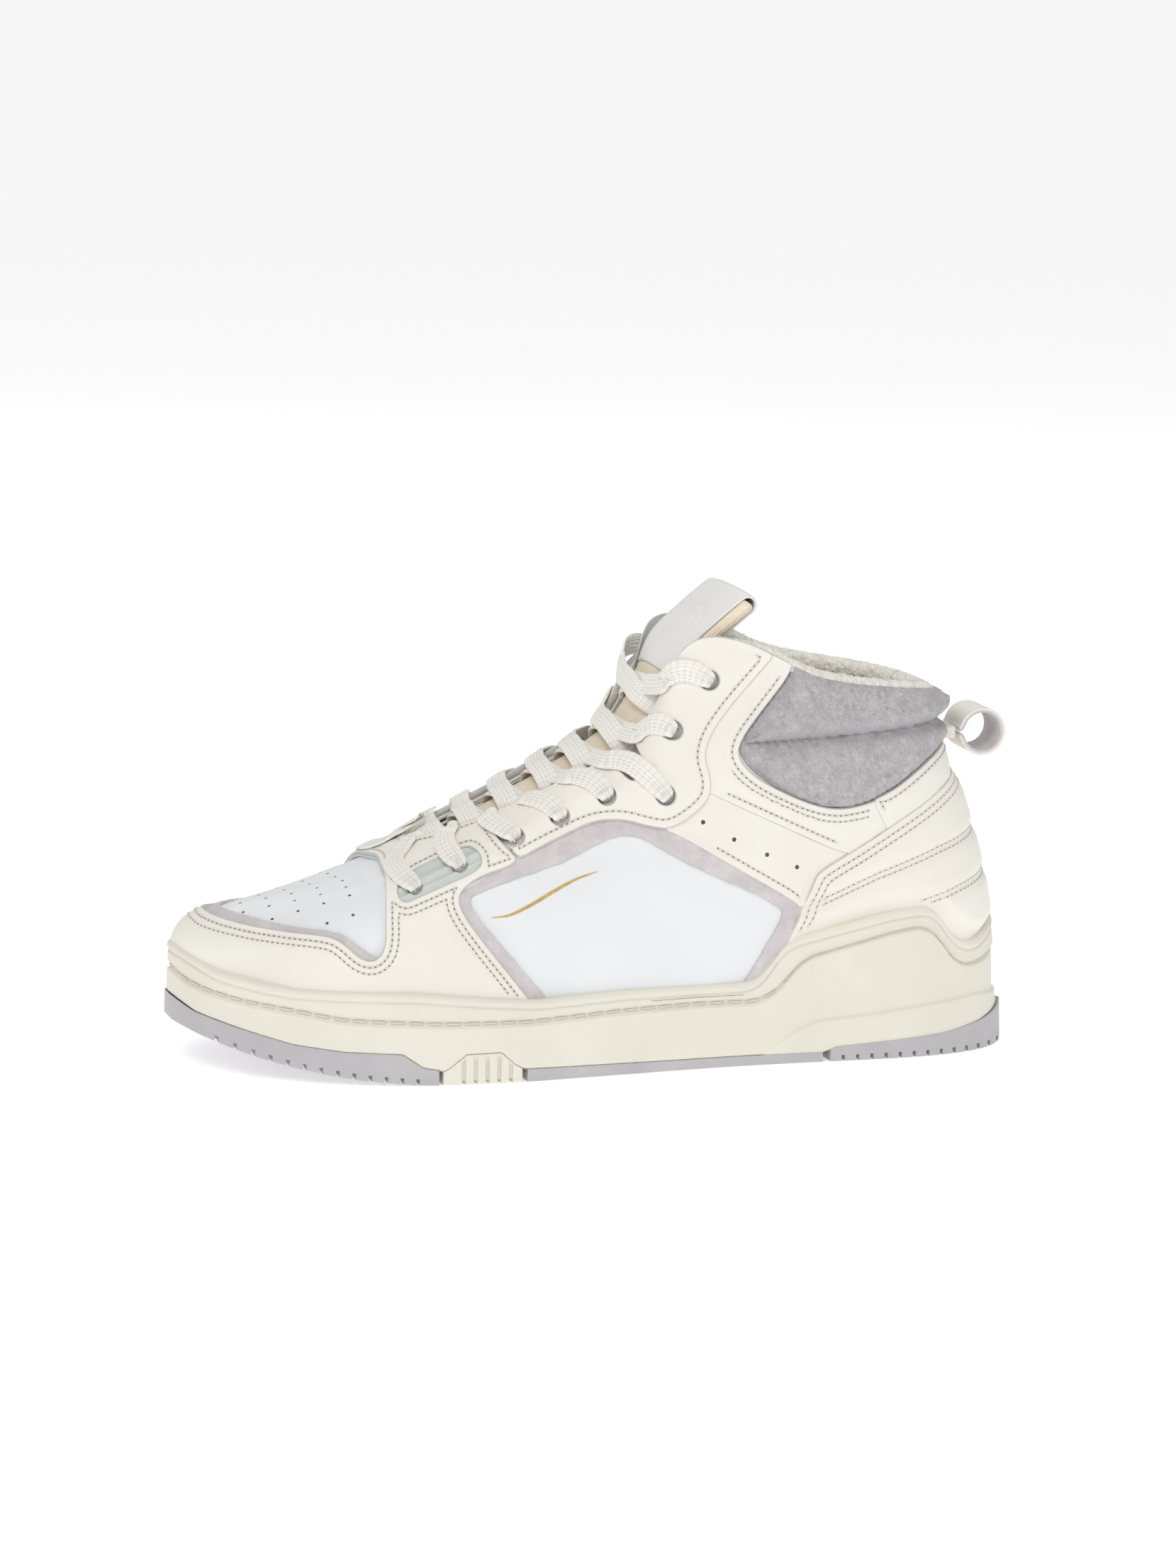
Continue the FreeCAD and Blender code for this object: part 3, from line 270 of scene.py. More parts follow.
# ------------------------------------------------------------------ side-view outlines
def rounded(points, closed=True, wide=7.0, tight=2.2):
    """An outline whose gentle corners become wide curves and whose sharp ones stay tight."""
    pts = [np.array(p, float) for p in points]
    count = len(pts)
    result = []
    for i in range(count):
        here = pts[i]
        if not closed and i in (0, count - 1):
            result.append(here)
            continue
        back = pts[i - 1] - here
        on = pts[(i + 1) % count] - here
        lb, lo = np.linalg.norm(back), np.linalg.norm(on)
        turn = math.pi - math.acos(float(np.clip(back @ on / (lb * lo), -1, 1)))
        reach = wide if turn < math.radians(50) else tight
        cut_b, cut_o = min(reach, 0.49 * lb), min(reach, 0.49 * lo)
        first, last = here + back / lb * cut_b, here + on / lo * cut_o
        for t in (0.0, 0.25, 0.5, 0.75, 1.0):
            result.append((1 - t) ** 2 * first + 2 * t * (1 - t) * here + t * t * last)
    return np.array(result)


def line_distance(line, x, z, closed=False):
    """Distance from side-view places to a line, with the sign of inside for a closed one."""
    ends = np.roll(line, -1, 0) if closed else line[1:]
    starts = line if closed else line[:-1]
    best = np.full(x.shape, 1e9)
    inside = np.zeros(x.shape, bool)
    for (ax, az), (bx, bz) in zip(starts, ends):
        dx, dz = bx - ax, bz - az
        length = dx * dx + dz * dz
        if length < 1e-12:
            continue
        t = np.clip(((x - ax) * dx + (z - az) * dz) / length, 0, 1)
        miss = (x - ax - t * dx) ** 2 + (z - az - t * dz) ** 2
        best = np.minimum(best, miss)
        if closed:
            crosses = (az > z) != (bz > z)
            if dz != 0:
                inside ^= crosses & (x < ax + (z - az) * dx / dz)
    distance = np.sqrt(best)
    return np.where(inside, -distance, distance) if closed else distance


# ------------------------------------------------------------------ the surface grid
SIDES = (("lateral", -1), ("medial", 1))        # outer side, inner side
COLUMNS_PER_STEP = 26
COLUMNS = TURN * COLUMNS_PER_STEP
ROWS = 112
V_LOW = 0.04
GRID_U = np.arange(COLUMNS) / COLUMNS_PER_STEP
GRID_V = V_LOW + (1 - V_LOW) * np.arange(ROWS) / (ROWS - 1)
UU, VV = np.meshgrid(GRID_U, GRID_V)             # rows by columns
PLACE = master(UU, VV)
OUT = outward(UU, VV)
X, Y, Z = PLACE[..., 0], PLACE[..., 1], PLACE[..., 2]
STEP_UP = np.linalg.norm(np.diff(PLACE, axis=0), axis=-1)
TO_TOP = np.vstack([np.cumsum(STEP_UP[::-1], axis=0)[::-1], np.zeros((1, COLUMNS))])
OUTER = Y < 0
# The inner side's front top corner is lower than the outer side's. FAR means nowhere near.
FAR = 1e3
CORNER_CUT = (20.0, 131.0)
BELOW_CUT = (CORNER_CUT[1] + (X - CORNER_CUT[0]) - Z) / math.sqrt(2)
BELOW_CUT = np.where((Y > 0) & (X < 52) & (Z > 118), BELOW_CUT, FAR)
TO_TOP = np.minimum(TO_TOP, BELOW_CUT)


def slope_of(values):
    """The gradient of grid values along the surface, and its length."""
    pu = np.roll(PLACE, -1, 1) - np.roll(PLACE, 1, 1)
    du = np.roll(values, -1, 1) - np.roll(values, 1, 1)
    pv = np.gradient(PLACE, axis=0)
    dv = np.gradient(values, axis=0)
    a = np.sum(pu * pu, -1)
    b = np.sum(pu * pv, -1)
    c = np.sum(pv * pv, -1)
    det = np.maximum(a * c - b * b, 1e-9)
    gu = (c * du - b * dv) / det
    gv = (a * dv - b * du) / det
    gradient = gu[..., None] * pu + gv[..., None] * pv
    return gradient, np.linalg.norm(gradient, axis=-1)


def surface_distance(values):
    """Turns a side-view distance into one measured along the surface."""
    _, slope = slope_of(values)
    return values / np.clip(slope, 0.28, 1.4)


def area(outline, closed_top=True, **shape):
    """Signed distance of every grid point to a side-view outline, minus inside."""
    values = surface_distance(line_distance(rounded(outline, **shape), X, Z, closed=True))
    if closed_top:
        values = np.maximum(values, -TO_TOP)
    return values


def side_only(values, side, margin=0.4):
    """Keeps the part of an area on one side of the shoe."""
    across = (-Y if side > 0 else Y) + margin
    return np.maximum(values, across)


def holes(values, places, radius):
    """Takes round holes out of an area."""
    for place in places:
        values = np.maximum(values, radius - np.linalg.norm(PLACE - place, axis=-1))
    return values


def settle(u, v, target, axes):
    """Moves u, v until two of the place's coordinates meet a target."""
    for _ in range(6):
        here = master(u, v)[axes]
        du = (master(u + 0.01, v)[axes] - master(u - 0.01, v)[axes]) / 0.02
        dv = (master(u, v + 0.005)[axes] - master(u, v - 0.005)[axes]) / 0.01
        step = np.linalg.solve(np.column_stack([du, dv]), target - here)
        u, v = u + float(np.clip(step[0], -0.3, 0.3)), v + float(np.clip(step[1], -0.1, 0.1))
    return u % TURN, v


def find(x, z, side):
    """u and v of the place with this x and z on one side."""
    mask = OUTER if side < 0 else ~OUTER
    miss = np.where(mask, (X - x) ** 2 + (Z - z) ** 2, 1e9)
    j, i = np.unravel_index(np.argmin(miss), miss.shape)
    return settle(GRID_U[i], GRID_V[j], np.array([x, z]), [0, 2])


def find_from_above(x, y):
    """u and v of the place of the vamp with this x and y."""
    miss = (X - x) ** 2 + (Y - y) ** 2 + np.where(Z > 40, 0, 1e6)
    j, i = np.unravel_index(np.argmin(miss), miss.shape)
    return settle(GRID_U[i], GRID_V[j], np.array([x, y]), [0, 1])


def find_on_edge(x, z, side):
    """u of the throat edge's place nearest to x and z on one side."""
    mask = OUTER[-1] if side < 0 else ~OUTER[-1]
    miss = np.where(mask, (X[-1] - x) ** 2 + (Z[-1] - z) ** 2, 1e9)
    return GRID_U[int(np.argmin(miss))]


def sample(values, u, v):
    """Bilinear values of a grid array at u, v."""
    fi = (np.asarray(u) % TURN) * COLUMNS_PER_STEP
    fj = (np.asarray(v) - V_LOW) / (1 - V_LOW) * (ROWS - 1)
    i = np.floor(fi).astype(int) % COLUMNS
    j = np.clip(np.floor(fj).astype(int), 0, ROWS - 2)
    a, b = fi - np.floor(fi), np.clip(fj - j, 0, 1)
    if values.ndim == 3:
        a, b = a[..., None], b[..., None]
    k = (i + 1) % COLUMNS
    return ((1 - a) * (1 - b) * values[j, i] + a * (1 - b) * values[j, k]
            + (1 - a) * b * values[j + 1, i] + a * b * values[j + 1, k])


def clip(values, level):
    """The part of the surface grid below a level: u, v of its points, its faces, and its
    border as directed pairs of points."""
    inside = values < level
    right = np.roll(inside, -1, 1)
    count = (inside[:-1].astype(int) + right[:-1] + inside[1:] + right[1:])
    index = np.arange(ROWS * COLUMNS).reshape(ROWS, COLUMNS)
    quads = np.stack([index[:-1], np.roll(index, -1, 1)[:-1],
                      np.roll(index, -1, 1)[1:], index[1:]], -1)
    whole = quads[count == 4]
    cut = quads[(count > 0) & (count < 4)]
    flat_u, flat_v, flat = UU.ravel(), VV.ravel(), values.ravel()
    new_points = {}
    extra_u, extra_v = [], []
    faces = [tuple(q) for q in whole.tolist()]
    border = []

    def crossing(a, b):
        key = (a, b) if a < b else (b, a)
        if key not in new_points:
            a, b = key
            t = (level - flat[a]) / (flat[b] - flat[a])
            t = min(0.97, max(0.03, t))
            ua, ub = flat_u[a], flat_u[b]
            if ub - ua > TOE_U:
                ua += TURN
            elif ua - ub > TOE_U:
                ub += TURN
            extra_u.append((ua + t * (ub - ua)) % TURN)
            extra_v.append(flat_v[a] + t * (flat_v[b] - flat_v[a]))
            new_points[key] = ROWS * COLUMNS + len(extra_u) - 1
        return new_points[key]

    for quad in cut.tolist():
        for triangle in ((quad[0], quad[1], quad[2]), (quad[0], quad[2], quad[3])):
            face, crossed = [], []
            for a, b in zip(triangle, triangle[1:] + triangle[:1]):
                if flat[a] < level:
                    face.append(a)
                if (flat[a] < level) != (flat[b] < level):
                    point = crossing(a, b)
                    face.append(point)
                    crossed.append((point, flat[a] < level))
            if len(face) >= 3:
                faces.append(tuple(face))
            if len(crossed) == 2:
                leaving = crossed[0][0] if crossed[0][1] else crossed[1][0]
                entering = crossed[1][0] if crossed[0][1] else crossed[0][0]
                border.append((leaving, entering))
    # border along the grid's own top and bottom rows
    for row, step in ((0, 1), (ROWS - 1, -1)):
        for i in range(COLUMNS):
            a, b = index[row, i], index[row, (i + 1) % COLUMNS]
            if flat[a] < level and flat[b] < level:
                border.append((a, b) if step > 0 else (b, a))
            elif flat[a] < level or flat[b] < level:
                point = crossing(a, b)
                pair = (a, point) if flat[a] < level else (point, b)
                border.append(pair if step > 0 else pair[::-1])
    used = np.unique(np.concatenate([np.array(f) for f in faces])) if faces else np.array([], int)
    renumber = {int(old): new for new, old in enumerate(used)}
    all_u = np.concatenate([flat_u, np.array(extra_u)])
    all_v = np.concatenate([flat_v, np.array(extra_v)])
    faces = [tuple(renumber[n] for n in f) for f in faces]
    border = [(renumber[a], renumber[b]) for a, b in border if a in renumber and b in renumber]
    return all_u[used], all_v[used], faces, border


# ------------------------------------------------------------------ meshes and pieces
def make_mesh(name, points, faces, material, smooth_shade=True):
    """A mesh object from points in millimetres."""
    mesh = bpy.data.meshes.new(name)
    mesh.from_pydata((np.asarray(points) * MM).tolist(), [], faces)
    mesh.update()
    obj = bpy.data.objects.new(name, mesh)
    bpy.context.scene.collection.objects.link(obj)
    mesh.materials.append(material)
    if smooth_shade:
        mesh.polygons.foreach_set("use_smooth", [True] * len(mesh.polygons))
    return obj


def piece(obj, body="shoe", nodes=()):
    """Puts a piece on its body and hides the CAD nodes it stands for."""
    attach(obj, body)
    if nodes:
        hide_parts(*nodes)
    return obj


def leather_panel(name, values, top, under, material, rim=0.9, extra=None, rings=4,
                  edge=None):
    """A closed panel on the last's surface with rounded edges. extra(u, v, place) adds
    height to its face."""
    u, v, faces, border = clip(values, -rim)
    place, out = master(u, v), outward(u, v)
    raise_by = np.zeros(len(u)) if extra is None else extra(u, v, place)
    face_points = place + out * (top + raise_by)[:, None]
    gradient, _ = slope_of(values)
    heading = sample(gradient, u, v)
    heading = heading - out * np.sum(heading * out, -1, keepdims=True)
    heading = unit(heading)
    rim_ids = sorted({a for pair in border for a in pair})
    order = {old: n for n, old in enumerate(rim_ids)}
    ids = np.array(rim_ids, int)
    points = [face_points]
    offset = len(u)
    ring_start = []
    for k in range(1, rings + 1):
        angle = math.pi / 2 * k / rings
        ring = (face_points[ids] + heading[ids] * (rim * math.sin(angle))
                - out[ids] * (rim * (1 - math.cos(angle))))
        ring_start.append(offset)
        points.append(ring)
        offset += len(ids)
    foot = place[ids] + heading[ids] * rim + out[ids] * under
    ring_start.append(offset)
    points.append(foot)
    offset += len(ids)
    under_start = offset
    points.append(place + out * under)
    all_faces = list(faces)
    for a, b in border:
        levels = [(a, b)] + [(s + order[a], s + order[b]) for s in ring_start]
        levels.append((under_start + a, under_start + b))
        for (a1, b1), (a2, b2) in zip(levels, levels[1:]):
            all_faces.append((b1, a1, a2, b2))
    steps = len(ring_start) + 1
    all_faces += [tuple(under_start + n for n in reversed(f)) for f in faces]
    obj = make_mesh(name, np.vstack(points), all_faces, material)
    if edge is not None:
        obj.data.materials.append(edge)
        for n in range(len(faces), len(faces) + len(border) * steps):
            if (n - len(faces)) % steps >= 1:
                obj.data.polygons[n].material_index = 1
    return obj


def sewn_panel(name, node, values, top, extra):
    """A panel of cream leather with raw cut edges, sewn on the upper."""
    obj = leather_panel(name, values, top, BASE_TOP, CREAM, LEATHER_RIM, extra, edge=CUT_EDGE)
    return piece(obj, nodes=(node,))


def suede_strip(name, node, area_of_strip, lift):
    """A raw-edged suede strip that shows from under a panel, lift over its usual height."""
    fuzzy = area_of_strip + 0.16 * ragged(2.1)
    obj = leather_panel(name, fuzzy, TRIM_TOP + lift, 0.0, SUEDE, THIN_RIM, nap(area_of_strip))
    return piece(obj, nodes=(node,))


def contour(values, level, pitch):
    """Evenly spaced places (u, v) along a level line of a grid array, line by line."""
    u, v, _, border = clip(values, level)
    following = dict(border)
    starts = set(following) - set(following.values())
    left = set(following)
    lines = []
    while left:
        start = starts.pop() if starts else next(iter(left))
        if start not in left:
            continue
        chain = [start]
        while chain[-1] in left:
            left.discard(chain[-1])
            chain.append(following[chain[-1]])
        uu = np.unwrap(u[chain] * 2 * math.pi / TURN) * TURN / (2 * math.pi)
        vv = v[chain]
        steps = np.linalg.norm(np.diff(master(uu, vv), axis=0), axis=-1)
        run = np.concatenate([[0], np.cumsum(steps)])
        if run[-1] < 3 * pitch:
            continue
        count = max(2, int(run[-1] / pitch))
        at = np.linspace(0, run[-1], count)
        lines.append((np.interp(at, run, uu), np.interp(at, run, vv)))
    return lines


# ------------------------------------------------------------------ materials
def srgb(*rgb):
    """A colour given as the eye reads it, 0 to 255, in Blender's linear values."""
    return tuple(((c / 255) / 12.92 if c <= 10.3 else ((c / 255 + 0.055) / 1.055) ** 2.4)
                 for c in rgb) + (1.0,)


class Nodes:
    """A small helper for building one material's node tree."""

    def __init__(self, name):
        self.material = bpy.data.materials.new(name)
        self.material.use_nodes = True
        self.tree = self.material.node_tree
        self.shader = self.tree.nodes["Principled BSDF"]
        self.place = self.tree.nodes.new("ShaderNodeTexCoord").outputs["Object"]

    def add(self, kind, **values):
        node = self.tree.nodes.new(kind)
        for key, value in values.items():
            if key in node.inputs:
                node.inputs[key].default_value = value
            else:
                setattr(node, key, value)
        return node

    def link(self, source, target):
        self.tree.links.new(source, target)
        return target

    def scaled(self, x, y, z, turn=0.0):
        node = self.add("ShaderNodeMapping")
        self.link(self.place, node.inputs["Vector"])
        node.inputs["Scale"].default_value = (x, y, z)
        node.inputs["Rotation"].default_value = (0, 0, turn)
        return node.outputs["Vector"]

    def noise(self, scale, detail=3.0, roughness=0.5, vector=None, distortion=0.0):
        node = self.add("ShaderNodeTexNoise", Scale=scale, Detail=detail,
                        Roughness=roughness, Distortion=distortion)
        self.link(vector or self.place, node.inputs["Vector"])
        return node.outputs["Fac"]

    def cells(self, scale, feature="F1", vector=None, randomness=1.0):
        node = self.add("ShaderNodeTexVoronoi", Scale=scale, Randomness=randomness)
        node.feature = feature
        self.link(vector or self.place, node.inputs["Vector"])
        return node.outputs["Distance"]

    def waves(self, scale, direction, vector=None, distortion=0.0, detail=0.0):
        node = self.add("ShaderNodeTexWave", Scale=scale, Distortion=distortion, Detail=detail)
        node.bands_direction = direction
        self.link(vector or self.place, node.inputs["Vector"])
        return node.outputs["Fac"]

    def math(self, operation, a, b):
        node = self.add("ShaderNodeMath", operation=operation)
        for slot, value in zip(node.inputs, (a, b)):
            if isinstance(value, (int, float)):
                slot.default_value = value
            else:
                self.link(value, slot)
        return node.outputs[0]

    def range(self, value, low, high, to_low, to_high):
        node = self.add("ShaderNodeMapRange")
        self.link(value, node.inputs["Value"])
        for key, number in (("From Min", low), ("From Max", high),
                            ("To Min", to_low), ("To Max", to_high)):
            node.inputs[key].default_value = number
        return node.outputs["Result"]

    def mix(self, factor, first, second):
        node = self.add("ShaderNodeMix", data_type="RGBA")
        self.link(factor, node.inputs["Factor"])
        for slot, value in ((node.inputs["A"], first), (node.inputs["B"], second)):
            if isinstance(value, tuple):
                slot.default_value = value
            else:
                self.link(value, slot)
        return node.outputs["Result"]

    def attribute(self, name):
        return self.add("ShaderNodeAttribute", attribute_name=name)

    def bump(self, height, strength, distance, after=None):
        node = self.add("ShaderNodeBump", Strength=strength, Distance=distance)
        self.link(height, node.inputs["Height"])
        if after is not None:
            self.link(after, node.inputs["Normal"])
        return node.outputs["Normal"]

    def finish(self, colour=None, normal=None, roughness=None, **fixed):
        for key, value in fixed.items():
            self.shader.inputs[key.replace("_", " ")].default_value = value
        if colour is not None:
            self.link(colour, self.shader.inputs["Base Color"])
        if normal is not None:
            self.link(normal, self.shader.inputs["Normal"])
        if roughness is not None:
            if isinstance(roughness, (int, float)):
                self.shader.inputs["Roughness"].default_value = roughness
            else:
                self.link(roughness, self.shader.inputs["Roughness"])
        return self.material


def leather(name, colour, shade, roughness=0.42, grain=1.0):
    n = Nodes(name)
    tone = n.range(n.noise(28.0, 4.0), 0.3, 0.7, 0.0, 1.0)
    pores = n.cells(900.0)
    creases = n.noise(260.0, 5.0, 0.6)
    fine = n.noise(1500.0, 2.0)
    normal = n.bump(pores, 0.22 * grain, 0.00012)
    normal = n.bump(creases, 0.35 * grain, 0.00025, normal)
    normal = n.bump(fine, 0.12 * grain, 0.00005, normal)
    rough = n.range(n.noise(90.0, 4.0), 0.3, 0.7, roughness - 0.05, roughness + 0.09)
    return n.finish(n.mix(tone, srgb(*colour), srgb(*shade)), normal, rough,
                    Specular_IOR_Level=0.42, Sheen_Weight=0.04, Sheen_Roughness=0.5)


def suede(name, colour, shade):
    n = Nodes(name)
    nap = n.noise(2600.0, 4.0, 0.7)
    clouds = n.noise(120.0, 4.0, 0.6)
    tone = n.range(n.math("ADD", n.math("MULTIPLY", nap, 0.5), n.math("MULTIPLY", clouds, 0.5)),
                   0.38, 0.62, 0.0, 1.0)
    normal = n.bump(nap, 0.55, 0.0003)
    normal = n.bump(n.noise(700.0, 3.0), 0.4, 0.0004, normal)
    return n.finish(n.mix(tone, srgb(*shade), srgb(*colour)), normal, 0.95,
                    Specular_IOR_Level=0.15, Sheen_Weight=0.5, Sheen_Roughness=0.45)


def felt(name, colour, shade):
    n = Nodes(name)
    fibres = n.noise(620.0, 6.0, 0.75, n.scaled(1.0, 2.4, 1.6), 1.8)
    lumps = n.noise(190.0, 6.0, 0.7)
    both = n.math("ADD", n.math("MULTIPLY", fibres, 0.65), n.math("MULTIPLY", lumps, 0.35))
    tone = n.range(both, 0.36, 0.64, 0.0, 1.0)
    normal = n.bump(fibres, 0.85, 0.0010)
    normal = n.bump(lumps, 0.6, 0.0014, normal)
    return n.finish(n.mix(tone, srgb(*shade), srgb(*colour)), normal, 1.0,
                    Specular_IOR_Level=0.1, Sheen_Weight=0.45, Sheen_Roughness=0.5)


def terry(name, colour, shade):
    n = Nodes(name)
    loops = n.cells(620.0)
    fuzz = n.noise(1400.0, 4.0, 0.7)
    tone = n.range(n.math("ADD", n.math("MULTIPLY", loops, 0.6), n.math("MULTIPLY", fuzz, 0.4)),
                   0.25, 0.7, 1.0, 0.0)
    normal = n.bump(loops, 0.7, 0.0007)
    normal = n.bump(fuzz, 0.5, 0.0004, normal)
    return n.finish(n.mix(tone, srgb(*shade), srgb(*colour)), normal, 1.0,
                    Specular_IOR_Level=0.1, Sheen_Weight=0.6, Sheen_Roughness=0.5)


def rubber(name, colour, shade, weave=0.0):
    n = Nodes(name)
    tone = n.range(n.noise(40.0, 3.0), 0.3, 0.7, 0.0, 1.0)
    sand = n.noise(2200.0, 3.0, 0.6)
    normal = n.bump(sand, 0.28, 0.00018)
    if weave:
        normal = n.bump(n.waves(weave, "DIAGONAL"), 0.3, 0.0002, normal)
        normal = n.bump(n.waves(weave, "Z"), 0.22, 0.0002, normal)
    rough = n.range(n.noise(300.0, 3.0), 0.3, 0.7, 0.5, 0.62)
    return n.finish(n.mix(tone, srgb(*colour), srgb(*shade)), normal, rough,
                    Specular_IOR_Level=0.4)


def woven(name, colour, shade, pitch=1.0, relief=0.5):
    """Plain weave from the surf attribute, which holds millimetres along and across."""
    n = Nodes(name)
    surf = n.attribute("surf").outputs["Vector"]
    warp = n.waves(0.5 / pitch * 0.64, "X", surf, 0.6, 1.0)
    weft = n.waves(0.5 / pitch * 0.64, "Y", surf, 0.6, 1.0)
    over = n.waves(0.25 / pitch * 0.64, "DIAGONAL", surf)
    height = n.math("ADD", n.math("MULTIPLY", warp, over),
                    n.math("MULTIPLY", weft, n.math("SUBTRACT", 1.0, over)))
    tone = n.range(n.math("ADD", height, n.math("MULTIPLY", n.noise(400.0, 4.0), 0.5)),
                   0.2, 1.2, 0.0, 1.0)
    normal = n.bump(height, relief, 0.0004)
    normal = n.bump(n.noise(2600.0, 3.0), 0.25, 0.0002, normal)
    return n.finish(n.mix(tone, srgb(*shade), srgb(*colour)), normal, 0.88,
                    Specular_IOR_Level=0.18, Sheen_Weight=0.35, Sheen_Roughness=0.5)


def braid(name, colour, shade):
    """A flat lace: lengthwise ribs with a slanted weave on them."""
    n = Nodes(name)
    surf = n.attribute("surf").outputs["Vector"]
    ribs = n.waves(0.268, "X", surf)
    slant = n.waves(0.27, "DIAGONAL", surf, 0.3, 1.0)
    height = n.math("ADD", n.math("MULTIPLY", ribs, 0.7), n.math("MULTIPLY", slant, 0.45))
    tone = n.range(height, 0.1, 0.75, 0.0, 1.0)
    normal = n.bump(height, 0.7, 0.0004)
    normal = n.bump(n.noise(2600.0, 3.0), 0.25, 0.0002, normal)
    return n.finish(n.mix(tone, srgb(*shade), srgb(*colour)), normal, 0.85,
                    Specular_IOR_Level=0.2, Sheen_Weight=0.3, Sheen_Roughness=0.5)


def moulded(name, colour, shade, roughness=0.5):
    n = Nodes(name)
    tone = n.range(n.noise(60.0, 3.0), 0.3, 0.7, 0.0, 1.0)
    normal = n.bump(n.noise(1800.0, 2.0), 0.12, 0.0001)
    rough = n.range(n.noise(200.0, 3.0), 0.3, 0.7, roughness - 0.04, roughness + 0.06)
    return n.finish(n.mix(tone, srgb(*colour), srgb(*shade)), normal, rough,
                    Specular_IOR_Level=0.45)


def foil(name):
    n = Nodes(name)
    tone = n.range(n.noise(500.0, 4.0, 0.7), 0.35, 0.65, 0.0, 1.0)
    normal = n.bump(n.noise(900.0, 4.0), 0.2, 0.0001)
    return n.finish(n.mix(tone, srgb(236, 206, 140), srgb(214, 180, 112)), normal, 0.38,
                    Metallic=0.7)


def thread(name, colour, shade):
    n = Nodes(name)
    ply = n.noise(3000.0, 2.0)
    return n.finish(n.mix(ply, srgb(*colour), srgb(*shade)), n.bump(ply, 0.4, 0.0001), 0.62,
                    Specular_IOR_Level=0.3, Sheen_Weight=0.2)


CREAM = leather("cream_leather", (243, 240, 231), (238, 234, 224))
WHITE = leather("white_leather", (237, 239, 241), (233, 235, 237), 0.4)
SUEDE = suede("raw_suede", (224, 219, 218), (200, 195, 195))
CUT_EDGE = suede("cut_edge", (222, 220, 214), (196, 194, 189))
FELT = felt("grey_felt", (240, 236, 238), (184, 180, 184))
TERRY = terry("cream_terry", (255, 253, 245), (240, 235, 222))
TONGUE_CLOTH = woven("tongue_weave", (255, 243, 222), (247, 229, 200), 0.75, 0.55)
LINING_CLOTH = woven("lining_weave", (240, 235, 222), (220, 214, 199), 0.6, 0.4)
INSOLE_CLOTH = woven("insole_weave", (240, 235, 220), (216, 209, 192), 0.8, 0.5)
LABEL = leather("label_leather", (238, 237, 233), (231, 230, 225), 0.36, 0.7)
LACE = braid("lace_braid", (254, 252, 245), (238, 233, 223))
RUBBER = rubber("cream_rubber", (234, 231, 218), (229, 225, 211))
OUTSOLE = rubber("grey_rubber", (196, 193, 195), (184, 181, 185), 260.0)
INSERT = moulded("grey_tpu", (214, 219, 214), (203, 208, 203), 0.42)
FOIL = foil("gold_foil")
THREAD = thread("cream_thread", (236, 232, 222), (212, 207, 195))
# Colour of the needle-hole discs: painted shade, the dark inside the needle holes.
NEEDLE_HOLE_SHADE = moulded("needle_hole_shade", (150, 144, 135), (126, 120, 112), 0.8)
# Colour of the punched-hole discs: painted shade, the dark inside the perforations and vents.
PUNCHED_HOLE_SHADE = moulded("punched_hole_shade", (92, 88, 84), (70, 66, 62), 0.85)


# ------------------------------------------------------------------ stitches
HOLE_SPOTS = []                                 # needle holes: places and directions


def stitch_row(name, values, level, pitch, height, keep, length=1.45, thick=0.34):
    """Small sunk stitches along a level line, height over the last's surface, with the
    needle's holes between them. keep(x, y, z) says which of them show."""
    centres, ways, ups = [], [], []
    for u, v in contour(values, level, pitch):
        place = master(u, v)
        out = outward(u, v)
        rise = height(u, v, place) if callable(height) else height + sample(WAVES, u, v)
        line = place + out * np.reshape(rise, (-1, 1))
        middle = (line[1:] + line[:-1]) / 2
        way = unit(line[1:] - line[:-1])
        up = unit(out[1:] + out[:-1])
        good = keep(middle[:, 0], middle[:, 1], middle[:, 2])
        centres.append(middle[good])
        ways.append(way[good])
        ups.append(up[good])
        HOLE_SPOTS.append((line[1:][good], out[1:][good]))
    return stitches(name, np.vstack(centres), np.vstack(ways), np.vstack(ups), length, thick)


def pucks(name, centres, normals, radius, depth, material, above=0.05):
    """Small dark discs let into the leather: holes seen from outside, their dark colour painted
    shade from inside the holes.
    """
    count = len(centres)
    corners = 9
    side = unit(np.cross(normals, np.tile([0.3, 0.2, 0.9], (count, 1))))
    other = np.cross(normals, side)
    rings = []
    for level, share in ((-depth, 0.8), (above - 0.04, 1.0), (above, 0.8)):
        for k in range(corners):
            a = 2 * math.pi * k / corners
            rings.append(centres + normals * level
                         + (side * math.cos(a) + other * math.sin(a)) * radius * share)
    grid = np.stack(rings, 1).reshape(-1, 3)
    per = 3 * corners
    pattern = [tuple(reversed(range(corners))), tuple(range(2 * corners, 3 * corners))]
    for r in range(2):
        for k in range(corners):
            m = (k + 1) % corners
            pattern.append((r * corners + k, r * corners + m,
                            (r + 1) * corners + m, (r + 1) * corners + k))
    faces = [tuple(c * per + n for n in f) for c in range(count) for f in pattern]
    return piece(make_mesh(name, grid, faces, material, smooth_shade=False))


# A stitch's shape: share of its length, share of its thickness
CAPSULE = [(-0.42, 0.75), (-0.15, 1.0), (0.15, 1.0), (0.42, 0.75)]


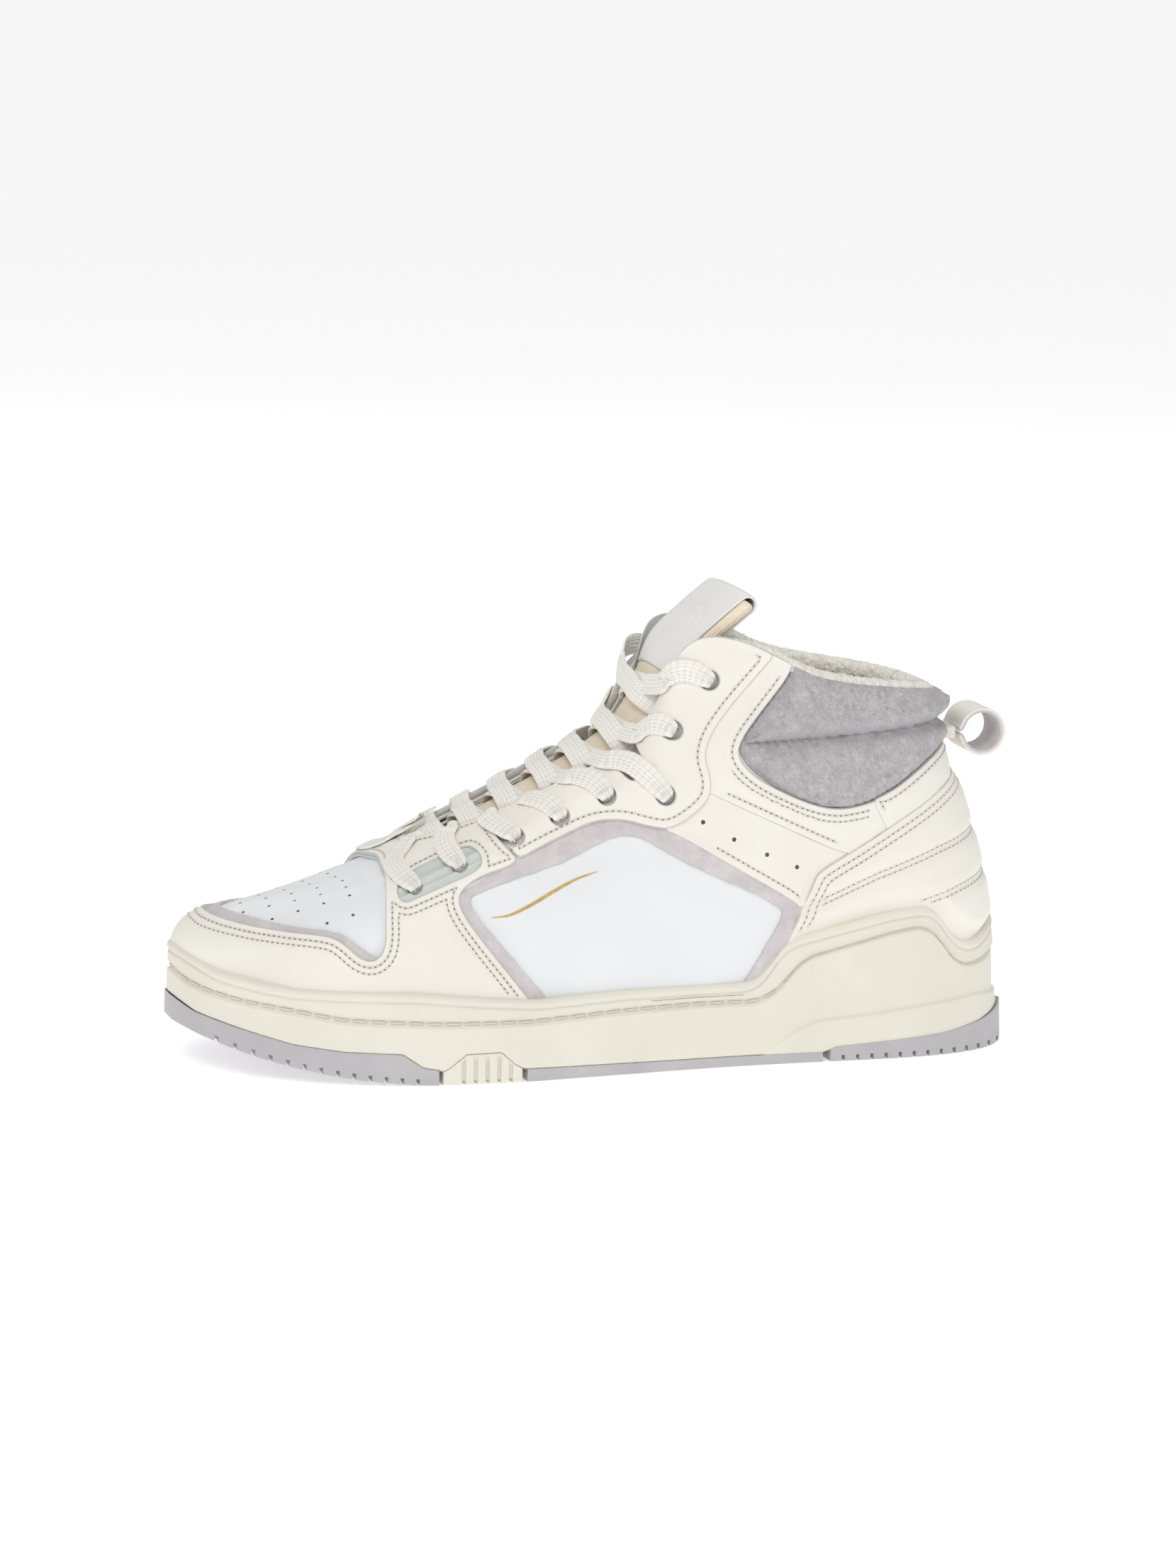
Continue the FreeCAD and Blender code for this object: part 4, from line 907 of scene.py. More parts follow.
def stitches(name, centres, ways, ups, length, thick, body="shoe"):
    """One mesh of small thread capsules."""
    count = len(centres)
    sides = unit(np.cross(ways, ups))
    ups = unit(np.cross(sides, ways))
    points = []
    corners = 6
    for share, fat in CAPSULE:
        for k in range(corners):
            a = 2 * math.pi * k / corners
            points.append(centres + ways * (share * length)
                          + sides * (thick * fat * math.cos(a)) + ups * (thick * fat * math.sin(a)))
    points.append(centres - ways * (0.5 * length) - ups * (0.6 * thick))
    points.append(centres + ways * (0.5 * length) - ups * (0.6 * thick))
    per = len(points)
    grid = np.stack(points, 1).reshape(-1, 3)
    rings = len(CAPSULE)
    pattern = []
    for r in range(rings - 1):
        for k in range(corners):
            m = (k + 1) % corners
            pattern.append((r * corners + k, r * corners + m,
                            (r + 1) * corners + m, (r + 1) * corners + k))
    for k in range(corners):
        m = (k + 1) % corners
        pattern.append((per - 2, m, k))
        pattern.append((per - 1, (rings - 1) * corners + k, (rings - 1) * corners + m))
    faces = []
    for c in range(count):
        faces += [tuple(c * per + n for n in f) for f in pattern]
    return piece(make_mesh(name, grid, faces, THREAD), body)


# ------------------------------------------------------------------ panels of the upper
def above_cup(values, hidden=6.0):
    """Leaves out what the cup hides."""
    return np.maximum(values, along(CUP_TOP, X) - hidden - Z)


def near(line, x, z):
    """Distance to an open side-view line with rounded corners."""
    return line_distance(rounded(line, closed=False), x, z)


def ragged(size):
    """Smooth random values over the grid, repeatable, in about -1 to 1."""
    step = max(1, int(size))
    coarse = NOISE.standard_normal((ROWS // step + 3, COLUMNS // step))
    rows = np.linspace(0, coarse.shape[0] - 1.01, ROWS)
    cols = np.linspace(0, coarse.shape[1], COLUMNS, endpoint=False)
    j, i = np.floor(rows).astype(int), np.floor(cols).astype(int)
    a, b = smooth(rows - j)[:, None], smooth(cols - i)[None, :]
    right = (i + 1) % coarse.shape[1]
    down = coarse[np.ix_(j, i)] * (1 - a) + coarse[np.ix_(j + 1, i)] * a
    down_right = coarse[np.ix_(j, right)] * (1 - a) + coarse[np.ix_(j + 1, right)] * a
    return down * (1 - b) + down_right * b


WAVES = 0.10 * ragged(14) + 0.05 * ragged(6)


def panel_bumps(level_values, groove_at=(), depth=0.28, width=0.9, puff=0.0):
    """Extra height: sunk stitch lines beside the edge, and a slight crown."""
    def extra(u, v, place):
        edge = -sample(level_values, u, v)
        rise = puff * smooth(edge / 9.0) + sample(WAVES, u, v) * smooth(edge / 3.0)
        for at in groove_at:
            rise = rise - depth * np.exp(-((edge - at) / width) ** 2)
        return rise
    return extra


def base_leather(name, node, values, extra):
    """A piece of the white leather that the other panels are sewn on."""
    obj = leather_panel(name, values, BASE_TOP, BASE_UNDER, WHITE, THIN_RIM, extra)
    return piece(obj, nodes=(node,))


def window_crown(x, z):
    """How far the leather in a side window stands out: a slight crown."""
    inner = -line_distance(rounded(WINDOW_INNER), x, z, closed=True)
    return 0.9 * smooth(inner / 14.0)


def base_panels():
    """The toe box and the two quarters."""
    toe_area = area([(-175, 5), (-175, 92), (-72, 92), (-66, 60), (-52, 5)])
    toe = above_cup(toe_area)

    def toe_shape(u, v, place):
        x, y, z = place[:, 0], place[:, 1], place[:, 2]
        crease = np.zeros(len(u))
        for at, tilt, deep in ((-86, 0.10, 0.35), (-79, -0.06, 0.3)):
            crease -= deep * np.exp(-((x - at - tilt * y) / 1.9) ** 2) * smooth((z - 50) / 8)
        return crease
    base_leather("toe_box_leather", "vamp", toe, toe_shape)
    for label, side in SIDES:
        quarter = area([(-58, 5), (-66, 60), (-72, 92), (-72, 170), (30, 170), (75, 80),
                        (75, 5)])
        quarter = side_only(above_cup(quarter), side)
        notch = line_distance(rounded(FLEX_NOTCH), X, Z, closed=True)
        quarter = np.maximum(quarter, -notch)

        def crown(u, v, place):
            return window_crown(place[:, 0], place[:, 2])
        base_leather("quarter_leather_" + label, "quarter_" + label, quarter, crown)


PERFORATIONS = [(-125 + 8.7 * i - 0.7 * abs(j), 2.5 - 1.6 * i + 8.8 * j) for i in range(5)
                for j in range(-3, 4) if abs(j) <= (1, 2, 2, 3, 3)[i]]
GOLD_STROKE = [(-46.5, 56.0), (-40, 56.8), (-32, 60.2), (-24, 64.4), (-16, 68.2), (-8.5, 70.6)]


def build_marks():
    """The toe box's punched holes, as dark discs of painted shade, and a plain gold stroke on each
    side window.
    """
    spots = [find_from_above(x, y) for x, y in PERFORATIONS]
    u, v = np.array(spots).T
    # Each perforation is a dark disc of painted shade.
    pucks("toe_perforations", master(u, v) + outward(u, v) * BASE_TOP, outward(u, v), 0.58,
          0.5, PUNCHED_HOLE_SHADE)
    for label, side in SIDES:
        u, v = catmull(np.array([find(x, z, side) for x, z in GOLD_STROKE]), 10).T
        place, out = master(u, v), outward(u, v)
        place = place + out * (BASE_TOP + window_crown(place[:, 0], place[:, 2]))[:, None]
        way = unit(np.gradient(place, axis=0))
        across = unit(np.cross(way, out))
        share = np.linspace(0, 1, len(place))
        half = 0.1 + 0.5 * np.sin(math.pi * share) ** 0.8
        ends = np.stack([place - across * half[:, None], place + across * half[:, None]], 1)
        low = ends - out[:, None] * 0.15
        high = ends + out[:, None] * 0.09
        points, faces = closed_sheet(low, high)
        piece(make_mesh("gold_stroke_" + label, points, faces, FOIL, smooth_shade=False))


def find_places(points, side):
    """The places of side-view points on one side of the last's surface."""
    return [master(*find(x, z, side)) for x, z in points]


def stay_parts():
    """On each side: eyestay, lace insert, window strip, vented side panel, collar panel."""
    window = area(LACE_WINDOW, closed_top=False)
    for label, side in SIDES:
        eyelets = find_places(EYELETS, side)
        notch = surface_distance(line_distance(rounded(FLEX_NOTCH), X, Z, closed=True))

        stay = side_only(np.maximum(area(EYESTAY), -notch), side)
        cut_stay = holes(stay, eyelets, EYELET_RADIUS + 0.9)
        sewn_panel("eyestay_leather_" + label, "eyestay_" + label, cut_stay, STAY_TOP,
                   panel_bumps(stay, (3.0,), 0.3, 0.8, 0.25))
        stitch_row("eyestay_stitch_" + label, stay, -3.0, STITCH_PITCH, STAY_TOP,
                   lambda x, y, z: (z > 76) & (line_distance(np.array(EYESTAY[:9]
                                               + EYESTAY_BACK), x, z) < 6))

        insert = side_only(area(LACE_INSERT), side)

        def ridges(u, v, place):
            line = near([(-80, 59.5), (-74, 61.8), (-46, 74.2)], place[:, 0], place[:, 2])
            rise = np.zeros(len(u))
            for at in (0.0, 2.3, 4.6):
                rise += 0.9 * np.exp(-((line - at) / 0.7) ** 2)
            return rise
        piece(leather_panel("lace_insert_tpu_" + label, holes(insert, eyelets[:2], 2.6), TRIM_TOP,
                            0.0, INSERT, 0.4, ridges),
              nodes=("lace_insert_" + label,))

        trim = np.maximum(area(WINDOW_OUTER), -area(WINDOW_INNER, closed_top=False))
        trim = side_only(above_cup(np.maximum(trim, 1.5 - window)), side)
        suede_strip("window_suede_" + label, "window_trim_" + label, trim, 0.2)

        side_area = ([(x - 1.5, z + 2.2) for x, z in EYESTAY_BACK[:3]]
                     + [(x + 1.0, z + 2.5) for x, z in COLLAR_SEAM]
                     + [(87, 76.5), (73.5, 67), (71.5, 63), (66.2, 54.2), (62.8, 57.6),
                        (22.4, 81), (15.5, 84.2)])
        panel = side_only(area(side_area), side)
        vents = find_places(VENTS, side)
        sewn_panel("side_panel_leather_" + label, "side_panel_" + label, panel, SIDE_TOP,
                   panel_bumps(panel, (3.0,), 0.22, 0.8, 0.3))
        stitch_row("side_panel_stitch_" + label, panel, -3.0, STITCH_PITCH, SIDE_TOP + 0.05,
                   lambda x, y, z: (z < 84 - 0.45 * (x - 20)) & (x < 66) & (x > 31))
        places = np.array(vents)
        spots = np.array([find(x, z, side) for x, z in VENTS])
        lift = SIDE_TOP + 0.3 + sample(WAVES, spots[:, 0], spots[:, 1])
        # Each vent hole is a dark disc of painted shade.
        pucks("vent_holes_" + label, places + outward(spots[:, 0], spots[:, 1])
              * lift[:, None], outward(spots[:, 0], spots[:, 1]), 0.8, 0.5, PUNCHED_HOLE_SHADE)

        collar = ([(30, 97), (30, 102)] + [(x - 2.2, z + 0.8) for x, z in EYESTAY_BACK[4:]]
                  + [(62, 153), (66, 150)]
                  + [(x - 1.5, z - 1.0) for x, z in PAD_EDGE[:5]] + PAD_EDGE[5:8]
                  + [(94.5, 92.5), (101, 82), (86.5, 72.5)] + COLLAR_SEAM[::-1])
        collar = side_only(area(collar), side)
        sewn_panel("collar_panel_leather_" + label, "collar_panel_" + label, collar, COLLAR_TOP,
                   panel_bumps(collar, (2.6, 4.7), 0.22, 0.7, 0.35))
        for row, at in (("a", 2.6), ("b", 4.7)):
            stitch_row("collar_stitch_%s_%s" % (row, label), collar, -at, STITCH_PITCH,
                       COLLAR_TOP + 0.1,
                       lambda x, y, z: (line_distance(np.array(PAD_EDGE[:8]), x, z) < at + 3.2)
                       & (x < 90) & (line_distance(np.array(EYESTAY_BACK), x, z) > at + 3.2)
                       & (line_distance(np.array(COLLAR_SEAM), x, z) > at + 1.0))
        stitch_row("collar_seam_stitch_" + label, collar, -2.8, STITCH_PITCH, COLLAR_TOP + 0.1,
                   lambda x, y, z: (line_distance(np.array(COLLAR_SEAM), x, z) < 4.2)
                   & (x > 38) & (x < 80))


def nap(values):
    """Height that lifts a suede strip's middle and roughens it a little."""
    rough = np.clip(0.12 * ragged(1), -0.25, 0.1)

    def extra(u, v, place):
        return 0.25 * smooth(-sample(values, u, v) / 2.0) + sample(rough, u, v)
    return extra


def wrapped_parts():
    """The pieces that go round the shoe: mudguard and its strip, heel overlay, heel band."""
    mudguard = area(MUDGUARD)
    window = area(LACE_WINDOW, closed_top=False)
    mudguard = above_cup(np.maximum(mudguard, -window))
    edges = panel_bumps(mudguard, (2.4, 4.5), 0.22, 0.7, 0.3)

    def bulge(place):
        x, z = place[:, 0], place[:, 2]
        return 3.2 * np.exp(-((z - 40) / 9.0) ** 2) * smooth((-122 - x) / 18)

    def full_toe(u, v, place):
        return edges(u, v, place) + bulge(place)
    sewn_panel("mudguard_leather", "mudguard", mudguard, MUDGUARD_TOP, full_toe)

    def clear_of_cup(x, y, z):
        return z > along(CUP_TOP, x) + 1.5

    def below_window(x, y, z):
        return clear_of_cup(x, y, z) & (z < 66.5)
    for row, at, keep in (("a", 2.4, clear_of_cup), ("b", 4.5, below_window)):
        stitch_row("mudguard_stitch_" + row, mudguard, -at, 1.9,
                   lambda u, v, p: MUDGUARD_TOP + 0.08 + sample(WAVES, u, v) + bulge(p), keep,
                   1.3, 0.32)
    suede_strip("mudguard_suede", "mudguard_trim", area(MUDGUARD_TRIM), 0.35)

    heel = above_cup(area([(44, 15)] + HEEL_EDGE + [(175, 122), (175, 15)]))
    quilt = [[(66, 54.5), (94, 65.6), (116, 72.7), (136, 77.5), (150, 81)],
             [(100, 50), (108, 53.4), (123, 58), (142, 62.5)]]

    def quilted(u, v, place):
        rise = 1.9 * smooth(-sample(heel, u, v) / 9.0)
        for line in quilt:
            rise = rise - 1.3 * np.exp(-(near(line, place[:, 0], place[:, 2]) / 2.4) ** 2)
        clear = smooth((place[:, 2] - along(CUP_TOP, place[:, 0]) - 0.5) / 7.0)
        return rise * clear - 1.4 * (1 - clear)
    sewn_panel("heel_leather", "heel_overlay", heel, HEEL_TOP, quilted)
    for row, at in (("a", 2.6), ("b", 4.8)):
        stitch_row("heel_stitch_" + row, heel, -at, STITCH_PITCH,
                   lambda u, v, p: HEEL_TOP + quilted(u, v, p) + 0.05, clear_of_cup)
    for n, line in enumerate(quilt):
        for row, at in (("a", 1.1), ("b", -1.1)):
            shifted = [(x, z + at) for x, z in line]
            field = surface_distance(signed_line(shifted))
            field = np.maximum(field, heel + 6)
            stitch_row("quilt_stitch_%d%s" % (n, row), field, 0.0, STITCH_PITCH,
                       lambda u, v, p: HEEL_TOP + 0.04 + quilted(u, v, p),
                       lambda x, y, z: clear_of_cup(x, y, z)
                       & (line_distance(np.array(shifted), x, z) < 0.8))
    band = area([(91.7, 92), (98.2, 79), (103.3, 82.2), (127.1, 94.7), (175, 118),
                 (175, 128)] + [(x - 0.5, z - 0.5) for x, z in PAD_EDGE[:7:-1]])
    sewn_panel("heel_band_leather", "heel_collar_band", band, BAND_TOP,
               panel_bumps(band, (2.6,), 0.2, 0.8, 0.3))
    stitch_row("heel_band_stitch", band, -2.6, STITCH_PITCH, BAND_TOP + 0.05,
               lambda x, y, z: (line_distance(np.array(PAD_EDGE[7:] + [(145, 120)]), x, z) < 5))


def signed_line(line):
    """Distance above (plus) or below (minus) a side-view line that runs with x."""
    return Z - along(line, X)


# ------------------------------------------------------------------ sole unit
SOLE_TURN = len(SOLE_OUTLINE)
OUTLINE = np.array(SOLE_OUTLINE, float)
OUTLINE_BENDS = periodic_bends(OUTLINE)
SOLE_COLUMNS = 640


def sole_round():
    """Evenly spaced places on the sole's outline, with the direction inwards."""
    fine = np.arange(0, SOLE_TURN, 0.02)
    line = spline_round(OUTLINE, OUTLINE_BENDS, fine)
    run = np.concatenate([[0], np.cumsum(np.linalg.norm(
        np.diff(np.vstack([line, line[:1]]), axis=0), axis=-1))])
    at = np.interp(np.linspace(0, run[-1], SOLE_COLUMNS, endpoint=False),
                   run, np.append(fine, SOLE_TURN))
    places = spline_round(OUTLINE, OUTLINE_BENDS, at)
    way = unit(np.roll(places, -1, 0) - np.roll(places, 1, 0))
    inward = np.stack([way[:, 1], -way[:, 0]], -1)
    centre = np.stack([places[:, 0] * 0.9, np.zeros(SOLE_COLUMNS)], -1)
    flip = np.sign(np.sum(inward * (centre - places), -1).mean())
    return places, inward * flip, np.linspace(0, run[-1], SOLE_COLUMNS, endpoint=False)


SOLE_PLACE, SOLE_IN, SOLE_RUN = sole_round()


def sole_wall(height, push=0.0, inset=0.0):
    """Points of the side wall at a height per column, pushed outwards."""
    x = SOLE_PLACE[:, 0]
    share = (height + 5) / 67
    side_in = 2.0 * share
    heel_in = 8.0 * share
    draw = side_in + (heel_in - side_in) * smooth((x - 90) / 60) + inset - push
    return np.column_stack([SOLE_PLACE + SOLE_IN * draw[:, None], height])


def band_between(low, high, count, profile):
    """Rows of wall points from one line up to another; profile(t, z) pushes them out."""
    rows = []
    for t in np.linspace(0, 1, count):
        z = low + (high - low) * t
        rows.append(sole_wall(z, profile(t, z)))
    return rows


def ring_faces(row_count, columns):
    """The faces between closed rows of points."""
    faces = []
    for j in range(row_count - 1):
        for i in range(columns):
            k = (i + 1) % columns
            faces.append((j * columns + i, j * columns + k,
                          (j + 1) * columns + k, (j + 1) * columns + i))
    return faces


def blurred(values, reach):
    """The running mean of values that go once round the sole."""
    around = np.concatenate([values[-reach:], values, values[:reach]])
    return np.convolve(around, np.ones(2 * reach + 1) / (2 * reach + 1), "valid")


def wall_gap(height):
    """How far the upper stands in from the wall at a height per column."""
    wall = sole_wall(height)
    skin = (PLACE + OUT * (MUDGUARD_TOP - 0.4)).reshape(-1, 3)
    gap = np.full(SOLE_COLUMNS, 9.0)
    for i in range(SOLE_COLUMNS):
        close = skin[np.abs(skin[:, 2] - height[i]) < 1.2]
        gap[i] = np.min(np.linalg.norm(close[:, :2] - wall[i, :2], axis=-1))
    return blurred(gap, 4)


def build_cup():
    """The cup's wall in rows from its foot over its grooves to its lip, and its stitches."""
    x = SOLE_PLACE[:, 0]
    top = blurred(along(CUP_TOP, x), 3)
    groove = blurred(along(CUP_GROOVE, x), 3)
    low = along(OUTSOLE_TOP, x)
    step = np.clip(along(HEEL_STEP, x), low + 0.1, groove - 6)
    on_heel = smooth((x - 55) / 12)
    bead = 1.0 * smooth((x - 58) / 10)
    rows = [sole_wall(low, -5.0), sole_wall(low, -0.3), sole_wall(low + 0.25, 0.0)]
    rows += band_between(low + 0.5, step, 5, lambda t, z: 0.0 * z)[1:]
    rows.append(sole_wall(step + 0.35, -0.1 * on_heel))
    rows.append(sole_wall(step + 0.8, -0.8 * on_heel))
    rows += band_between(step + 1.2, groove - 2.6, 12,
                         lambda t, z: -0.8 * on_heel + 0.8 * smooth(t) * on_heel)
    for shift, deep in ((-2.0, 0.0), (-1.5, 0.12), (-1.2, -0.25), (-0.8, -1.0), (-0.3, -1.25),
                        (0.3, -1.25), (0.8, -1.0), (1.2, -0.25), (1.5, 0.12), (2.0, 0.0)):
        rows.append(sole_wall(groove + shift, deep + (bead if shift > 0 else 0.0)))
    rows += band_between(groove + 2.6, top - 4.2, 8, lambda t, z: bead)
    for shift, deep in ((-3.8, -0.15), (-3.4, -0.6), (-3.0, -0.35), (-2.5, 0.15), (-1.8, 0.38),
                        (-1.2, 0.3), (-0.6, 0.0), (-0.25, -0.4), (0.0, -0.95)):
        rows.append(sole_wall(top + shift, deep + bead))
    gap = np.maximum(2.0, wall_gap(top - 0.5))
    rise = np.minimum(2.4, 0.3 * (gap - 2.0))
    for share, more, drop in ((0.3, 0, -0.35), (0.6, 0, -0.65), (0.85, 0.2, -0.9),
                              (1.0, 1.6, -0.9), (1.0, 3.4, 1.2), (1.0, 3.4, 6.0)):
        rows.append(sole_wall(top - drop * (rise if drop < 0 else 1.0) - 0.05,
                              -0.95 - (gap - 0.95) * share - more))
    rows.append(sole_wall(low + 4.0, -7.0))
    points = np.vstack(rows)
    faces = ring_faces(len(rows), SOLE_COLUMNS)
    last = (len(rows) - 1) * SOLE_COLUMNS
    faces += [(last + i, last + (i + 1) % SOLE_COLUMNS, (i + 1) % SOLE_COLUMNS, i)
              for i in range(SOLE_COLUMNS)]
    piece(make_mesh("midsole_wall", points, faces, RUBBER),
          nodes=("midsole_cup",))
    # long stitches sunk in the groove
    wall = sole_wall(groove, -1.0)
    pitch = 6
    centres = wall[::pitch]
    ways = unit(np.roll(wall, -1, 0) - np.roll(wall, 1, 0))[::pitch]
    ups = np.column_stack([-SOLE_IN, np.zeros(SOLE_COLUMNS)])[::pitch]
    stitches("midsole_stitches", centres, ways, ups, 5.6, 0.42)


# Where each outsole piece starts and ends along x
OUTSOLE_SPANS = {"outsole_toe": (-149.6, -66.5), "outsole_pivot_block": (-65.0, -37.0),
                 "outsole_midfoot": (-35.0, 75.0), "outsole_heel": (78.0, 151.6)}


def build_outsole():
    for name, (x_from, x_to) in OUTSOLE_SPANS.items():
        if name == "outsole_pivot_block":
            build_outsole_piece(name, x_from, x_to, RUBBER)
        else:
            build_outsole_piece(name, x_from, x_to, OUTSOLE)


def outsole_marks(name, low, high):
    """Where along x a piece's grooves start, how wide and deep they are, and how deep they
    cut its wall."""
    if name == "outsole_midfoot":
        return [], 0.0, 0.0, 0.0
    if name == "outsole_pivot_block":
        return [-58.7 + 4.2 * k for k in range(5)], 1.5, 1.4, 1.0
    first = low + (11.0 if name == "outsole_toe" else 4.0)
    return list(np.arange(first, high - 3.0, 5.35)), 1.3, 2.0, 0.0


def build_outsole_piece(name, lo, hi, material):
    """Cross-sections from the outer wall over the tread to the inner wall."""
    starts, wide, groove_deep, wall_deep = outsole_marks(name, lo, hi)
    stations = [(x, 0) for x in np.linspace(lo, hi, max(8, int((hi - lo) / 2.6)) + 1)
                if not any(s - 0.3 < x < s + wide + 0.3 for s in starts)]
    for s in starts:
        stations += [(s, 0), (s + 0.02, 1), (s + wide - 0.02, 1), (s + wide, 0)]
    stations.sort()
    fine = spline_round(OUTLINE, OUTLINE_BENDS, np.arange(0, SOLE_TURN, 0.01))
    outer_line = fine[fine[:, 1] < 0]
    inner_line = fine[fine[:, 1] >= 0]
    outer_line = outer_line[np.argsort(outer_line[:, 0])]
    inner_line = inner_line[np.argsort(inner_line[:, 0])]
    rows = []
    for x, grooved in stations:
        y0 = np.interp(x, outer_line[:, 0], outer_line[:, 1])
        y1 = np.interp(x, inner_line[:, 0], inner_line[:, 1])
        g = float(ground(np.array(x)))
        h = max(float(along(OUTSOLE_TOP, np.array(x))), g + 0.8)
        deep = groove_deep * grooved
        taper = 2.0 + 6.0 * float(smooth(np.array((x - 90) / 60)))
        foot = g + min(deep, 0.6 * (h - g))
        left, right = [], []
        for t in (1.0, 0.94, 0.7, 0.45, 0.2, 0.05):
            z = foot + (h + 0.15 - foot) * t
            draw = taper * (z + 5) / 67 - 0.12 + (0.25 if t > 0.95 else 0.0)
            if t < 0.8:
                draw += wall_deep * grooved
            left.append((x, y0 + draw, z))
            right.append((x, y1 - draw, z))
        section = list(left)
        tread = 48
        span = y1 - y0 - 1.8
        ends = float(smooth(np.array(min(x - lo, hi - x) / 8.0)))
        for k in range(tread + 1):
            y = y0 + 0.9 + span * k / tread
            edge = min(k, tread - k) * span / tread
            zig = 2.4 * (2 * abs((y / 9.0) % 1.0 - 0.5) - 0.5) * ends
            zig *= float(smooth(np.array((edge - 3.0) / 6.0)))
            section.append((x + zig, y, foot))
        section += right[::-1]
        inset = 5.5
        top = g + (h - g) * 0.98
        section.append((x, y1 - inset, max(top, g + 1.6)))
        section.append((x, y0 + inset, max(top, g + 1.6)))
        rows.append(section)
    width = len(rows[0])
    points = np.array(rows).reshape(-1, 3)
    faces = []
    for j in range(len(rows) - 1):
        for i in range(width):
            k = (i + 1) % width
            faces.append((j * width + i, (j + 1) * width + i, (j + 1) * width + k, j * width + k))
    faces.append(tuple(range(width)))
    last = (len(rows) - 1) * width
    faces.append(tuple(last + i for i in reversed(range(width))))
    obj = make_mesh(name + "_tread", points, faces, material, smooth_shade=False)
    piece(obj, nodes=(name,))


# ------------------------------------------------------------------ tongue
TONGUE = [
    (-75, 64, -73, 12, 58), (-62, 73.5, -58, 18, 65), (-49, 81.5, -44, 21.5, 71),
    (-34, 89.5, -29, 24, 79), (-14, 101, -8, 24, 90), (4, 113, 10.5, 24, 102),
    (13, 123.5, 19, 24, 115.5), (19, 135, 23, 24.5, 130), (26, 145.5, 27.5, 24.5, 143.5),
    (37, 155, 37.5, 24.5, 153.8), (47.5, 163.3, 47.8, 24.5, 162.3),
]
LABEL_FIRST_ROW = 7.15
LABEL_LIFT = 0.15


def tongue_point(row, t):
    """Places on the tongue's outer face: row along it, t from 0 to 1 across it."""
    row, t = np.broadcast_arrays(np.asarray(row, float), np.asarray(t, float))
    table = np.array(TONGUE, float)
    last = len(TONGUE) - 1
    i = np.clip(np.floor(row).astype(int), 0, last - 1)
    f = (row - i)[..., None]
    a, b = table[np.maximum(0, i - 1)], table[i]
    c, d = table[i + 1], table[np.minimum(last, i + 2)]
    slope_b, slope_c = (c - a) / 2, (d - b) / 2
    values = (b * (1 + 2 * f) * (1 - f) ** 2 + slope_b * f * (1 - f) ** 2
              + c * f * f * (3 - 2 * f) + slope_c * f * f * (f - 1))
    cx, cz, wx, wy, wz = (values[..., k] for k in range(5))
    hx, hz = (8 * cx - 2 * wx) / 6, (8 * cz - 2 * wz) / 6
    w = 1 - t
    ends = w ** 3 + t ** 3
    middle = 3 * w * t
    y = -wy * (w ** 3 - t ** 3) - 0.6 * wy * middle * (w - t)
    return np.stack([wx * ends + hx * middle, y, wz * ends + hz * middle], -1)


def tongue_normal(row, t):
    step = 0.02
    row, t = np.asarray(row, float), np.asarray(t, float)
    way = tongue_point(row + step, t) - tongue_point(row - step, t)
    across = tongue_point(row, t + step) - tongue_point(row, t - step)
    return unit(np.cross(way, across))


def closed_sheet(low, high):
    """Points and faces of a closed slab between two grids of the same size."""
    rows, columns = low.shape[:2]
    points = np.vstack([high.reshape(-1, 3), low.reshape(-1, 3)])
    half = rows * columns
    faces = []
    for j in range(rows - 1):
        for i in range(columns - 1):
            a, b = j * columns + i, j * columns + i + 1
            c, d = b + columns, a + columns
            faces.append((a, b, c, d))
            faces.append((half + d, half + c, half + b, half + a))
    edge = ([(0, i) for i in range(columns)] + [(j, columns - 1) for j in range(1, rows)]
            + [(rows - 1, i) for i in range(columns - 2, -1, -1)]
            + [(j, 0) for j in range(rows - 2, 0, -1)])
    ids = [j * columns + i for j, i in edge]
    for a, b in zip(ids, ids[1:] + ids[:1]):
        faces.append((b, a, half + a, half + b))
    return points, faces


def add_surf(obj, places):
    """Stores where the cloth lies flat, in millimetres, for its weave."""
    attribute = obj.data.attributes.new("surf", "FLOAT_VECTOR", "POINT")
    flat = np.zeros((len(obj.data.vertices), 3), np.float32)
    flat[:, :2] = places[:len(flat)]
    attribute.data.foreach_set("vector", flat.ravel())


